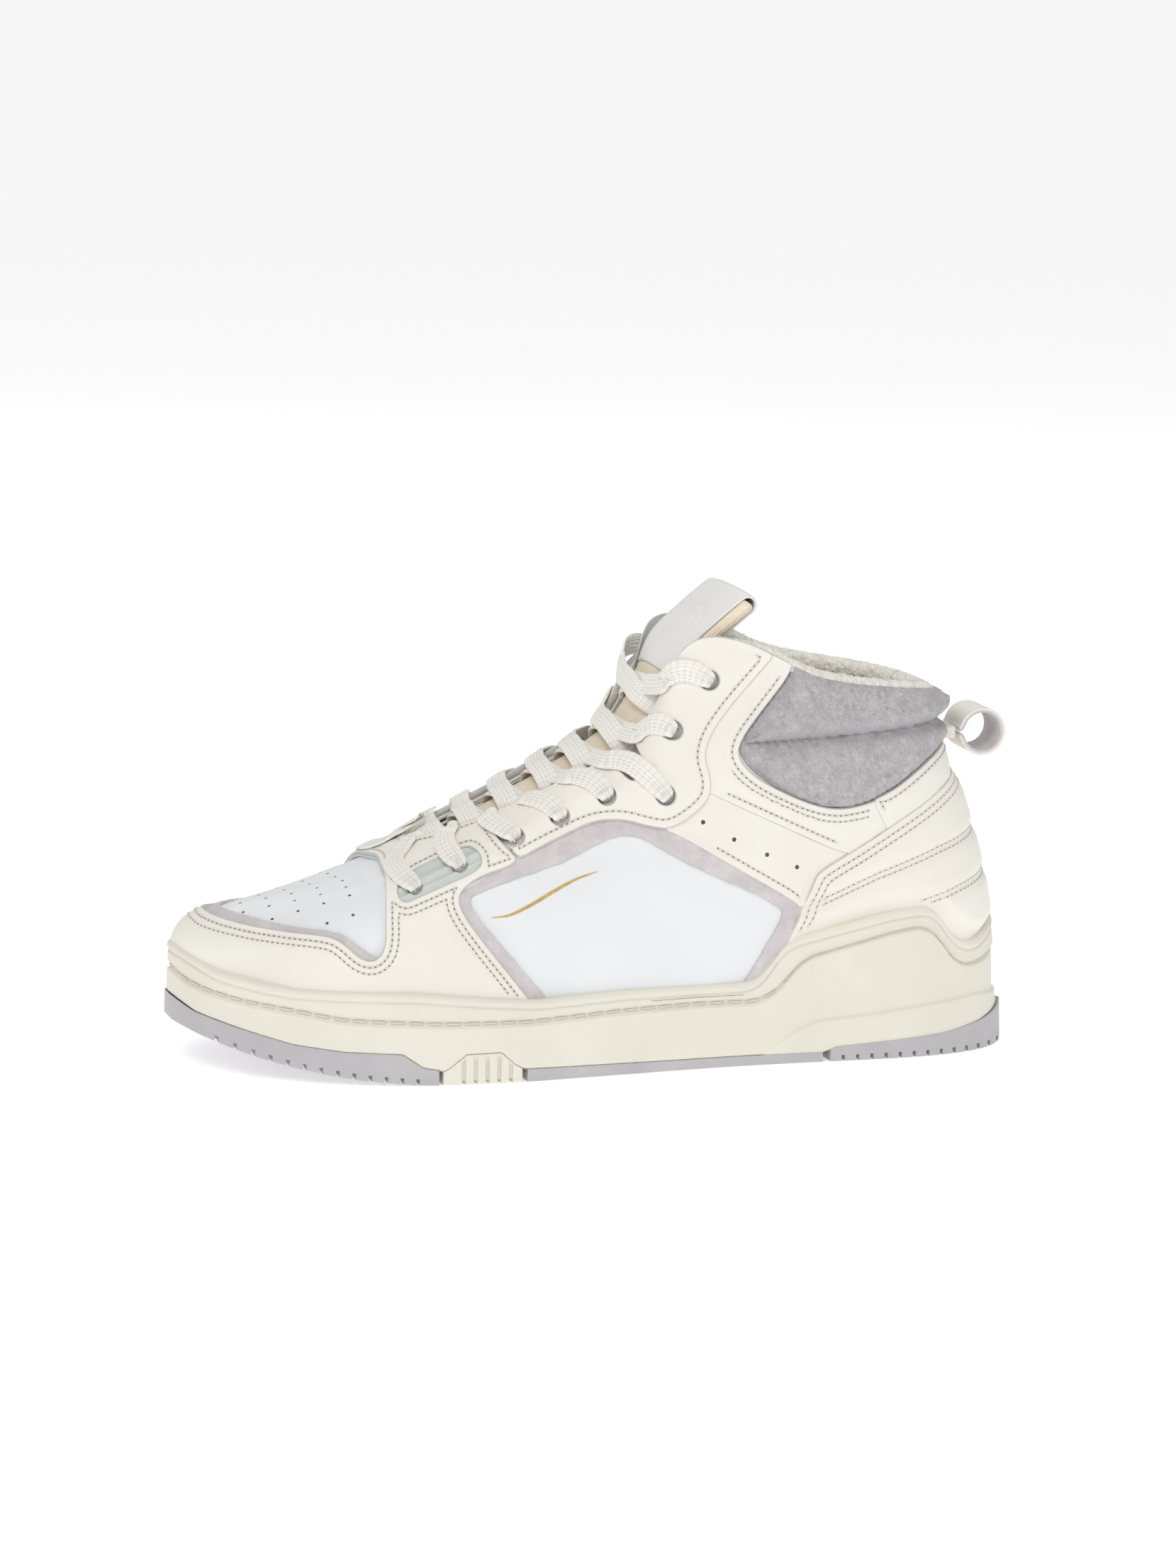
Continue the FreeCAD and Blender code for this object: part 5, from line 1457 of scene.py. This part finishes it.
def build_tongue():
    """The padded tongue with a stitched edge, and its label."""
    rows, columns = 150, 56
    last = len(TONGUE) - 1
    r, t = np.meshgrid(np.linspace(0, last, rows), np.linspace(0, 1, columns), indexing="ij")
    edge_mm = np.minimum(t, 1 - t) * 58
    top_mm = (last - r) * 12.5
    rim = np.minimum(edge_mm, top_mm)
    groove = -0.8 * np.exp(-((rim - 4.6) / 0.8) ** 2)
    full = 2.3 * np.sqrt(np.maximum(0, 1 - (1 - np.clip(rim / 2.8, 0, 1)) ** 2))
    out = tongue_normal(r, t)
    middle = tongue_point(r, t) - out * 2.8
    face = middle + out * (full + groove + 0.5 * smooth(rim / 9))[..., None]
    back = middle - out * (full + 0.01)[..., None]
    points, faces = closed_sheet(back, face)
    obj = make_mesh("tongue_cover_cloth", points, faces, TONGUE_CLOTH)
    flat = np.stack([t * 62, r * 12.5], -1).reshape(-1, 2)
    add_surf(obj, np.vstack([flat, flat]))
    piece(obj, "tongue", ("tongue_cover", "tongue_foam", "tongue_lining"))
    stitch_top, edge_t = last - 0.37, 0.079
    line_r = np.concatenate([np.linspace(2.0, stitch_top, 60), np.full(24, stitch_top),
                             np.linspace(stitch_top, 2.0, 60)])
    line_t = np.concatenate([np.full(60, edge_t), np.linspace(edge_t, 1 - edge_t, 24),
                             np.full(60, 1 - edge_t)])
    line = tongue_point(line_r, line_t) + tongue_normal(line_r, line_t) * -0.95
    run = np.concatenate([[0], np.cumsum(np.linalg.norm(np.diff(line, axis=0), axis=-1))])
    at = np.arange(1.0, run[-1], 2.6)
    centres = np.column_stack([np.interp(at, run, line[:, k]) for k in range(3)])
    ahead = np.column_stack([np.interp(at + 0.5, run, line[:, k]) for k in range(3)])
    normals = tongue_normal(np.interp(at, run, line_r), np.interp(at, run, line_t))
    stitches("tongue_stitches", centres, unit(ahead - centres), normals, 2.0, 0.33,
             body="tongue")
    build_label(last)


def build_label(last):
    """The label folds over the tongue's top edge."""
    top_r = last - 0.12                         # the tongue row where the fold begins
    outer_r = np.linspace(LABEL_FIRST_ROW, top_r, 44)
    columns = 40
    t = np.linspace(0.045, 0.955, columns)
    under, over = 0.3, 0.8                      # the label's two faces, from its middle
    radius = 2.9
    low, high = [], []
    for r in outer_r:
        p, n = tongue_point(r, t), tongue_normal(r, t)
        low.append(p + n * (LABEL_LIFT - under))
        high.append(p + n * (LABEL_LIFT + over))
    way = unit(tongue_point(top_r, t) - tongue_point(last - 0.5, t))
    centre = tongue_point(top_r, t) + tongue_normal(top_r, t) * (LABEL_LIFT - radius)
    for k in range(1, 13):
        angle = math.pi * k / 12
        heading = tongue_normal(top_r, t) * math.cos(angle) + way * math.sin(angle)
        low.append(centre + heading * (radius - under))
        high.append(centre + heading * (radius + over))
    for k in range(1, 10):
        r = top_r - 0.16 * k
        p, n = tongue_point(r, t), tongue_normal(r, t)
        low.append(p + n * (LABEL_LIFT - 2 * radius + under))
        high.append(p + n * (LABEL_LIFT - 2 * radius - over))
    low, high = np.array(low), np.array(high)
    rows = len(low)
    jj, ii = np.meshgrid(np.arange(rows), np.arange(columns), indexing="ij")
    side_mm = np.minimum(ii, columns - 1 - ii) * 1.25
    end_mm = np.minimum(jj, rows - 1 - jj) * 1.2
    rim = np.minimum(side_mm, end_mm)
    sink = -0.5 * (1 - smooth(rim / 1.6)) - 0.25 * np.exp(-((rim - 3.0) / 0.8) ** 2)
    thick = unit(high - low)
    # a generic pressed oval, two rings
    across = (ii - (columns - 1) / 2) * 1.25
    down = (jj - 22) * 0.85
    oval = np.sqrt((across / 13.0) ** 2 + (down / 8.0) ** 2)
    press = -0.45 * np.exp(-((oval - 1.0) / 0.09) ** 2) - 0.3 * np.exp(-((oval - 0.62) / 0.1) ** 2)
    high = high + thick * (sink + press)[..., None]
    points, faces = closed_sheet(low, high)
    obj = make_mesh("tongue_label_fold", points, faces, LABEL)
    piece(obj, "tongue", ("tongue_label",))


# ------------------------------------------------------------------ lace
LACE_WIDTH = 7.8
LACE_THICK = 1.25
LACE_CROSSING = (0.3, 0.5, 0.7)                 # places across the tongue
LACE_SHARES = (0.0, 0.12, 0.28, 0.46, 0.64, 0.82, 0.98)     # from a hole to the edge
LACE_TUCK = 0.55                                # where between two edges a lace dips under
LACE_ABOVE = 3.3                                # over and under the last's surface
LACE_BELOW = -4.6
END_WIDTHS = [7.2, 5.6, 3.2]                    # towards a hole, where the lace is pinched
END_THICKS = [1.9, 2.5, 2.4]


def lace_run(spot, u_edge, lift):
    """Places and normals from a hole to where its lace crosses the throat edge."""
    share = np.array(LACE_SHARES)
    u, v = spot
    uu, vv = u + (u_edge - u) * share, v + (1 - v) * share
    out = outward(uu, np.minimum(vv, 1.0))
    return master(uu, vv) + out * lift, out


def over_tongue(start, end, side, lift):
    """A lace's places and normals over the tongue, from one throat edge to the other."""
    last = len(TONGUE) - 1
    rows = np.arange(0, last, 0.05)
    middle = tongue_point(rows, 0.5)
    row_a = rows[np.argmin(np.hypot(middle[:, 0] - start[0], middle[:, 2] - start[2]))]
    row_b = rows[np.argmin(np.hypot(middle[:, 0] - end[0], middle[:, 2] - end[2]))]
    t = np.array(LACE_CROSSING)
    row = row_a + (row_b - row_a) * t
    place = t if side < 0 else 1 - t
    label = smooth((row - LABEL_FIRST_ROW + 0.9) / 0.6) * 1.3
    out = tongue_normal(row, place)
    return tongue_point(row, place) + out * (lift + label)[:, None], out


def catmull(points, per):
    """A smooth line through points, per places for each run."""
    pts = np.vstack([2 * points[0] - points[1], points, 2 * points[-1] - points[-2]])
    result = []
    for a, b, c, d in zip(pts, pts[1:], pts[2:], pts[3:]):
        for k in range(per):
            f = k / per
            result.append(b * (1 + 2 * f) * (1 - f) ** 2 + (c - a) / 2 * f * (1 - f) ** 2
                          + c * f * f * (3 - 2 * f) + (d - b) / 2 * f * f * (f - 1))
    result.append(pts[-2])
    return np.array(result)


def ribbon(name, places, normals, widths, thicks, nodes=()):
    """A flat braided lace: an oval section with lengthwise ribs."""
    line = catmull(np.array(places), 8)
    ups = unit(catmull(np.array(normals), 8))
    wide = catmull(np.column_stack([widths, thicks]), 8)
    way = unit(np.gradient(line, axis=0))
    sides = unit(np.cross(way, ups))
    ups = unit(np.cross(sides, way))
    around = 44
    angles = 2 * math.pi * np.arange(around) / around
    run = np.concatenate([[0], np.cumsum(np.linalg.norm(np.diff(line, axis=0), axis=-1))])
    c, s = np.cos(angles), np.sin(angles)
    across = np.sign(c) * np.abs(c) ** 0.85
    up = np.sign(s) * np.abs(s) ** 0.5
    ribs = 1 + 0.16 * np.cos(across * 6 * math.pi)
    rows = []
    for k in range(len(line)):
        weave = 1 + 0.05 * np.sin(run[k] * 2 * math.pi / 1.5 + across * 9)
        rows.append(line[k] + sides[k] * (across * wide[k, 0] / 2)[:, None]
                    + ups[k] * (up * wide[k, 1] / 2 * ribs * weave)[:, None])
    points = np.vstack(rows)
    faces = [f[::-1] for f in ring_faces(len(rows), around)]
    faces.append(tuple(range(around)))
    last = (len(rows) - 1) * around
    faces.append(tuple(last + i for i in reversed(range(around))))
    obj = make_mesh(name, points, faces, LACE)
    across_mm = np.tile(c * LACE_WIDTH / 2, len(rows))
    run_mm = np.repeat(run, around)
    chevron = run_mm + np.abs(across_mm) * 0.9
    add_surf(obj, np.column_stack([across_mm, chevron]))
    return piece(obj, "shoe", nodes)


def build_laces():
    """The first bar, then a crossing from each side to the next hole of the other side."""
    spots = {side: [find(x, z, side) for x, z in EYELETS] for side in (-1, 1)}
    edges = {side: [find_on_edge(x, z, side) for x, z in LACE_EDGE] for side in (-1, 1)}

    def run(side, k, lift):
        return lace_run(spots[side][k], edges[side][k], lift)

    def hole_in(side, k):
        return master(*spots[side][k]) + outward(*spots[side][k]) * -1.2

    first = {side: run(side, 0, LACE_ABOVE - 0.4) for side in (-1, 1)}
    cross, cross_out = over_tongue(first[-1][0][-1], first[1][0][-1], -1, 2.4)
    bar = ([hole_in(-1, 0)] + list(first[-1][0]) + list(cross) + list(first[1][0][::-1])
           + [hole_in(1, 0)])
    ups = ([first[-1][1][0]] + list(first[-1][1]) + list(cross_out) + list(first[1][1][::-1])
           + [first[1][1][0]])
    count = len(bar)
    widths = END_WIDTHS[::-1] + [LACE_WIDTH] * (count - 6) + END_WIDTHS
    thicks = END_THICKS[::-1] + [LACE_THICK] * (count - 6) + END_THICKS
    ribbon("lace_bar", bar, ups, widths, thicks, nodes=("shoelace",))
    for k in range(len(EYELETS) - 1):
        for label, side in SIDES:
            tuck = edges[side][k] + LACE_TUCK * (edges[side][k + 1] - edges[side][k])
            start, start_out = lace_run(spots[side][k], tuck, LACE_BELOW)
            end, end_out = run(-side, k + 1, LACE_ABOVE)
            lift = 3.8 if side < 0 else 2.3
            cross, cross_out = over_tongue(start[-1], end[-1], side, lift)
            places = list(start[-3:]) + list(cross) + list(end[::-1])
            normals = list(start_out[-3:]) + list(cross_out) + list(end_out[::-1])
            places.append(hole_in(-side, k + 1))
            normals.append(end_out[0])
            n = len(places)
            widths = [5.5, 6.4, 7.2] + [LACE_WIDTH] * (n - 6) + END_WIDTHS
            thicks = [1.8, 1.7, 1.6] + [LACE_THICK] * (n - 6) + END_THICKS
            ribbon("lace_cross_%d_%s" % (k + 1, label), places, normals, widths, thicks)


# ------------------------------------------------------------------ collar and linings
def collar_share(place):
    """1 in the padded collar, 0 forward of it and below it."""
    return smooth((place[..., 0] - 38) / 16) * smooth((place[..., 2] - 82) / 16)


def lining_depth(v, place):
    """Height of the lining over the last's surface: it curls in over the collar's pad."""
    curl = smooth((1 - v) / 0.08)
    return LINING_UNDER - COLLAR_PAD_DEPTH * collar_share(place) * curl


def lining_top(u):
    """How far up the lining goes in each column: all the way but at the cut corner."""
    above = BELOW_CUT < 0
    highest = np.where(above.any(0), GRID_V[np.argmax(above, 0)], 1.0)
    return np.interp(u, GRID_U, highest)


def build_linings():
    """Cloth forward of the collar, terry inside it, rolled over the top edge."""
    columns = COLUMNS // 2
    u = np.arange(columns) * TURN / columns
    heights = np.linspace(0.0, 1.0, 90)
    uu, vv = np.meshgrid(u, heights)
    vv = vv * lining_top(u)
    place, out = master(uu, vv), outward(uu, vv)
    depth = lining_depth(vv, place)
    inner = place + out * (depth - LINING_THICK)[..., None]
    outer = place + out * (depth - 0.2)[..., None]
    split = 46.0
    terry_part = (place[..., 0] > split) & (place[..., 2] > 84)
    for name, chosen, material, slot, nodes in (
            ("lining_cloth_inside", ~terry_part, LINING_CLOTH, "lining_cloth",
             ("vamp_lining", "quarter_lining_lateral", "quarter_lining_medial")),
            ("collar_terry_inside", terry_part, TERRY, "terry", ("collar_lining",))):
        lift = 0.0 if material is LINING_CLOTH else 1.0
        pushed = inner - out * (lift * (1 + 0.35 * NOISE.standard_normal(vv.shape)))[..., None]
        points = np.vstack([pushed.reshape(-1, 3), outer.reshape(-1, 3)])
        half = chosen.size
        faces = []
        for j in range(len(heights) - 1):
            for i in range(columns):
                k = (i + 1) % columns
                if chosen[j, i] or chosen[j + 1, k]:
                    a, b = j * columns + i, j * columns + k
                    c, d = (j + 1) * columns + k, (j + 1) * columns + i
                    faces.append((d, c, b, a))
                    faces.append((half + a, half + b, half + c, half + d))
        edges = {}
        for f in faces:
            for a, b in zip(f, f[1:] + f[:1]):
                edges[(a, b)] = edges.get((a, b), 0) + 1
        for (a, b) in [e for e in edges if (e[1], e[0]) not in edges]:
            if a < half and b < half:
                faces.append((b, a, a + half, b + half))
        obj = make_mesh(name, points, faces, material)
        flat = np.column_stack([(uu * 27).ravel(), (vv * 110).ravel()])
        add_surf(obj, np.vstack([flat, flat]))
        remove_loose(obj)
        piece(obj, "shoe", nodes)


def remove_loose(obj):
    """Takes out the points that no face uses."""
    bm = bmesh.new()
    bm.from_mesh(obj.data)
    loose = [v for v in bm.verts if not v.link_faces]
    bmesh.ops.delete(bm, geom=loose, context="VERTS")
    bm.to_mesh(obj.data)
    bm.free()


def above_fold(x, z):
    """Height over the fold between the collar's two rolls."""
    return z - (PAD_GROOVE[0] + PAD_GROOVE[1] * (x - 60))


def build_collar_pads():
    """Two felt rolls with a deep fold between them, from the padded edge to the rim."""
    tuck = 1.2
    overlap = 1.0
    pad_field = area([(x + 0.3, z + 0.3) for x, z in PAD_EDGE[1:]]
                     + [(175, 124), (175, 170), (66, 170), (62.6, 138.2)]) - tuck
    lower = np.maximum(pad_field, surface_distance(above_fold(X, Z)) - overlap)
    upper = np.maximum(pad_field, surface_distance(-above_fold(X, Z)) - overlap)
    clumps = 0.22 * ragged(1) + 0.28 * ragged(2) + 0.3 * ragged(5)
    for name, field, node in (("collar_roll_lower", lower, "collar_pad_lower"),
                              ("collar_roll_upper", upper, "collar_pad_upper")):
        width, full = (6.5, 4.7) if field is upper else (12.0, 5.5)

        def roll(u, v, place):
            inside = -sample(field, u, v) - tuck
            t = np.clip(inside / width, 0, 1)
            rise = full * np.sqrt(np.maximum(0, 1 - (1 - t) ** 2))
            over = above_fold(place[:, 0], place[:, 2])
            if field is upper:
                rise += 1.8 * np.exp(-((over - 4.5) / 3.2) ** 2) * smooth(inside / 2.4)
            else:
                rise -= 2.0 * np.exp(-(over / 3.2) ** 2) * smooth(inside / 2.0)
            return rise + sample(clumps, u, v) * smooth(inside / 1.5)
        obj = leather_panel(name, field, 0.4, BASE_UNDER, FELT, THIN_RIM, roll, 3)
        piece(obj, "shoe", (node,))


def build_rim_roll():
    """The terry rolls over the collar's top edge to meet the felt."""
    count = 420
    u = np.linspace(-5.2, 5.2, count)
    top = master(u, 1.0)
    out = outward(u, 0.999)
    up = unit(top - master(u, 0.97))
    around = 20
    radius = 3.6
    rows = []
    for k in range(count):
        ends = smooth(np.array(min(k, count - 1 - k) / 30.0))
        centre = top[k] - out[k] * 2.2 - up[k] * 1.6
        angle = np.linspace(-0.1, 1.12, around) * math.pi
        bumps = radius * (1 + 0.05 * NOISE.standard_normal(around)) * (0.55 + 0.45 * ends)
        rows.append(centre + out[k] * (np.cos(angle) * bumps)[:, None]
                    + up[k] * (np.sin(angle) * bumps)[:, None])
    points = np.vstack(rows)
    faces = ring_faces(count, around)
    faces.append(tuple(reversed(range(around))))
    faces.append(tuple((count - 1) * around + i for i in range(around)))
    piece(make_mesh("collar_terry_rim", points, faces, TERRY), "shoe",
          ("collar_foam",))


def build_insole():
    """The insole's cloth top, in rings from its raised edge to the middle."""
    columns = 260
    u = np.arange(columns) * TURN / columns
    edge = master(u, 0.06) + outward(u, 0.06) * -4.4
    centre = np.column_stack([edge[:, 0] * 0.98,
                              np.interp(edge[:, 0], [-140, 0, 140], [6, 2, 0])])
    rings = 26
    rows = []
    for k in range(rings + 1):
        share = 1 - k / rings
        x, y = (centre + (edge[:, :2] - centre) * share).T
        top = feather(x) + 3.5 + 2.0 * smooth(x / 90.0)
        cup = 1.6 * smooth((share - 0.72) / 0.28)
        rows.append(np.column_stack([x, y, top + cup]))
    base = np.column_stack([edge[:, 0], edge[:, 1], feather(edge[:, 0]) + 0.5])
    rows = [base] + rows
    points = np.vstack(rows)
    faces = ring_faces(len(rows), columns)
    faces.append(tuple(reversed(range(columns))))
    obj = make_mesh("insole_cloth_top", points, faces, INSOLE_CLOTH)
    add_surf(obj, points[:, :2])
    piece(obj, "insole", ("insole",))


# ------------------------------------------------------------------ pull loop
def build_pull_loop():
    """A strap bent to a loop inside the CAD loop's box, grain side out, flesh side in."""
    low, high = node_box("pull_loop")
    width = high[1] - low[1]
    strap = 1.8
    right = high[0]
    radius = (high[2] - low[2]) / 2 - strap / 2
    cx, cz = right - radius - strap / 2, (high[2] + low[2]) / 2
    root = low[0]
    angles = np.linspace(math.radians(164), math.radians(-164), 46)
    path = [(root, cz + 1.1), (root + 0.6, cz + 1.1)]
    path += [(cx + radius * math.cos(a), cz + radius * math.sin(a)) for a in angles]
    path += [(root + 0.6, cz - 1.1), (root, cz - 1.1)]
    path = np.array(path)
    for name, inner, outer, material in (("pull_loop_outside", 0.0, 0.9, CREAM),
                                         ("pull_loop_inside", -0.8, 0.0, SUEDE)):
        build_strap(name, path, width, inner, outer, material)


def build_strap(name, path, width, inner, outer, material):
    """One face of the folded strap, between two heights over its path."""
    way = unit(np.gradient(path, axis=0))
    normal = np.column_stack([-way[:, 1], way[:, 0]])
    across = 18
    ys = np.linspace(-width / 2 + 0.3, width / 2 - 0.3, across)
    grids = []
    for lift in (inner, outer):
        rows = []
        for p, n in zip(path, normal):
            edge = np.minimum(ys + width / 2, width / 2 - ys)
            soft = -0.18 * np.exp(-((edge - 2.2) / 0.7) ** 2) if lift == outer else 0 * ys
            line = p + n * (lift + soft[:, None])
            rows.append(np.column_stack([line[:, 0], ys, line[:, 1]]))
        grids.append(np.array(rows))
    points, faces = closed_sheet(grids[0], grids[1])
    obj = make_mesh(name, points, faces, material)
    nodes = ("pull_loop",) if material is CREAM else ()
    piece(obj, "pull_loop", nodes)


def build_needle_holes():
    """The holes between the stitches of the upper, as dark discs whose colour is painted shade from
    inside the holes.
    """
    places = np.vstack([place for place, _ in HOLE_SPOTS])
    outs = np.vstack([out for _, out in HOLE_SPOTS])
    pucks("needle_holes_shoe", places, outs, 0.33, 0.3, NEEDLE_HOLE_SHADE, 0.06)


def build_small_parts():
    """Gives the CAD nodes that stay in the picture their own materials."""
    for name, material in (("pull_loop_tab", CREAM), ("midsole_foam_wedge", INSERT),
                           ("lasting_board", LINING_CLOTH), ("toe_puff", INSERT),
                           ("heel_counter", INSERT), ("eyelet_tape_lateral", INSERT),
                           ("eyelet_tape_medial", INSERT)):
        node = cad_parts[name]
        node.data.materials.clear()
        node.data.materials.append(material)


# ------------------------------------------------------------------ camera and light
def build_camera():
    """Looks at the outer side, a little from the toe and from above, with the shoe level
    on its toe and heel."""
    centre = Vector((0.0004, -0.0002, 0.0957))
    turned, down = math.radians(15), math.radians(10)
    forward = Vector((math.sin(turned) * math.cos(down), math.cos(turned) * math.cos(down),
                      -math.sin(down)))
    data = bpy.data.cameras.new("camera")
    data.lens = 130.8
    data.sensor_fit = "VERTICAL"
    data.sensor_height = 36.0
    data.sensor_width = 27.0
    camera = bpy.data.objects.new("camera", data)
    bpy.context.scene.collection.objects.link(camera)
    aim = forward.to_track_quat("-Z", "Y").to_matrix().to_4x4()
    matrix = Matrix.Translation(centre - forward * 2.0) @ aim
    pivot = Matrix.Translation(Vector((0.075, 0, 0)))
    tilt = Matrix.Rotation(math.radians(-1.146), 4, "Y")
    camera.matrix_world = pivot @ tilt @ pivot.inverted() @ matrix
    bpy.context.scene.camera = camera


def build_stage():
    """A plain pale floor, a white world and three soft lamps."""
    mesh = bpy.data.meshes.new("floor")
    size = 60.0
    mesh.from_pydata([(-size, -size, 0), (size, -size, 0), (size, size, 0), (-size, size, 0)],
                     [], [(0, 1, 2, 3)])
    floor = bpy.data.objects.new("floor", mesh)
    bpy.context.scene.collection.objects.link(floor)
    n = Nodes("pale_floor")
    mesh.materials.append(n.finish(None, None, 0.9, Specular_IOR_Level=0.2,
                                   Emission_Color=(1.0, 1.0, 1.0, 1.0), Emission_Strength=0.42))
    n.shader.inputs["Base Color"].default_value = (0.93, 0.93, 0.94, 1.0)
    world = bpy.data.worlds.new("studio")
    bpy.context.scene.world = world
    world.use_nodes = True
    world.node_tree.nodes["Background"].inputs["Color"].default_value = (1.0, 1.0, 1.0, 1.0)
    world.node_tree.nodes["Background"].inputs["Strength"].default_value = 0.54
    for name, place, size, power, colour in (
            ("key", (-0.7, -1.1, 1.5), 1.0, 11.0, (1.0, 0.995, 0.985)),
            ("side", (1.3, -0.8, 0.9), 1.2, 2.4, (0.98, 0.99, 1.0)),
            ("back", (0.2, 1.4, 1.3), 1.2, 4.4, (1.0, 1.0, 1.0))):
        lamp = bpy.data.lights.new(name, "AREA")
        lamp.size = size
        lamp.energy = power
        lamp.color = colour
        obj = bpy.data.objects.new(name, lamp)
        obj.location = place
        aim = Vector((0, 0, 0.07)) - Vector(place)
        obj.rotation_euler = aim.to_track_quat("-Z", "Y").to_euler()
        bpy.context.scene.collection.objects.link(obj)
    bpy.context.scene.view_settings.view_transform = "Standard"


build_camera()
base_panels()
stay_parts()
wrapped_parts()
build_cup()
build_outsole()
build_tongue()
build_laces()
build_marks()
build_linings()
build_collar_pads()
build_rim_roll()
build_insole()
build_pull_loop()
build_small_parts()
build_needle_holes()
build_stage()
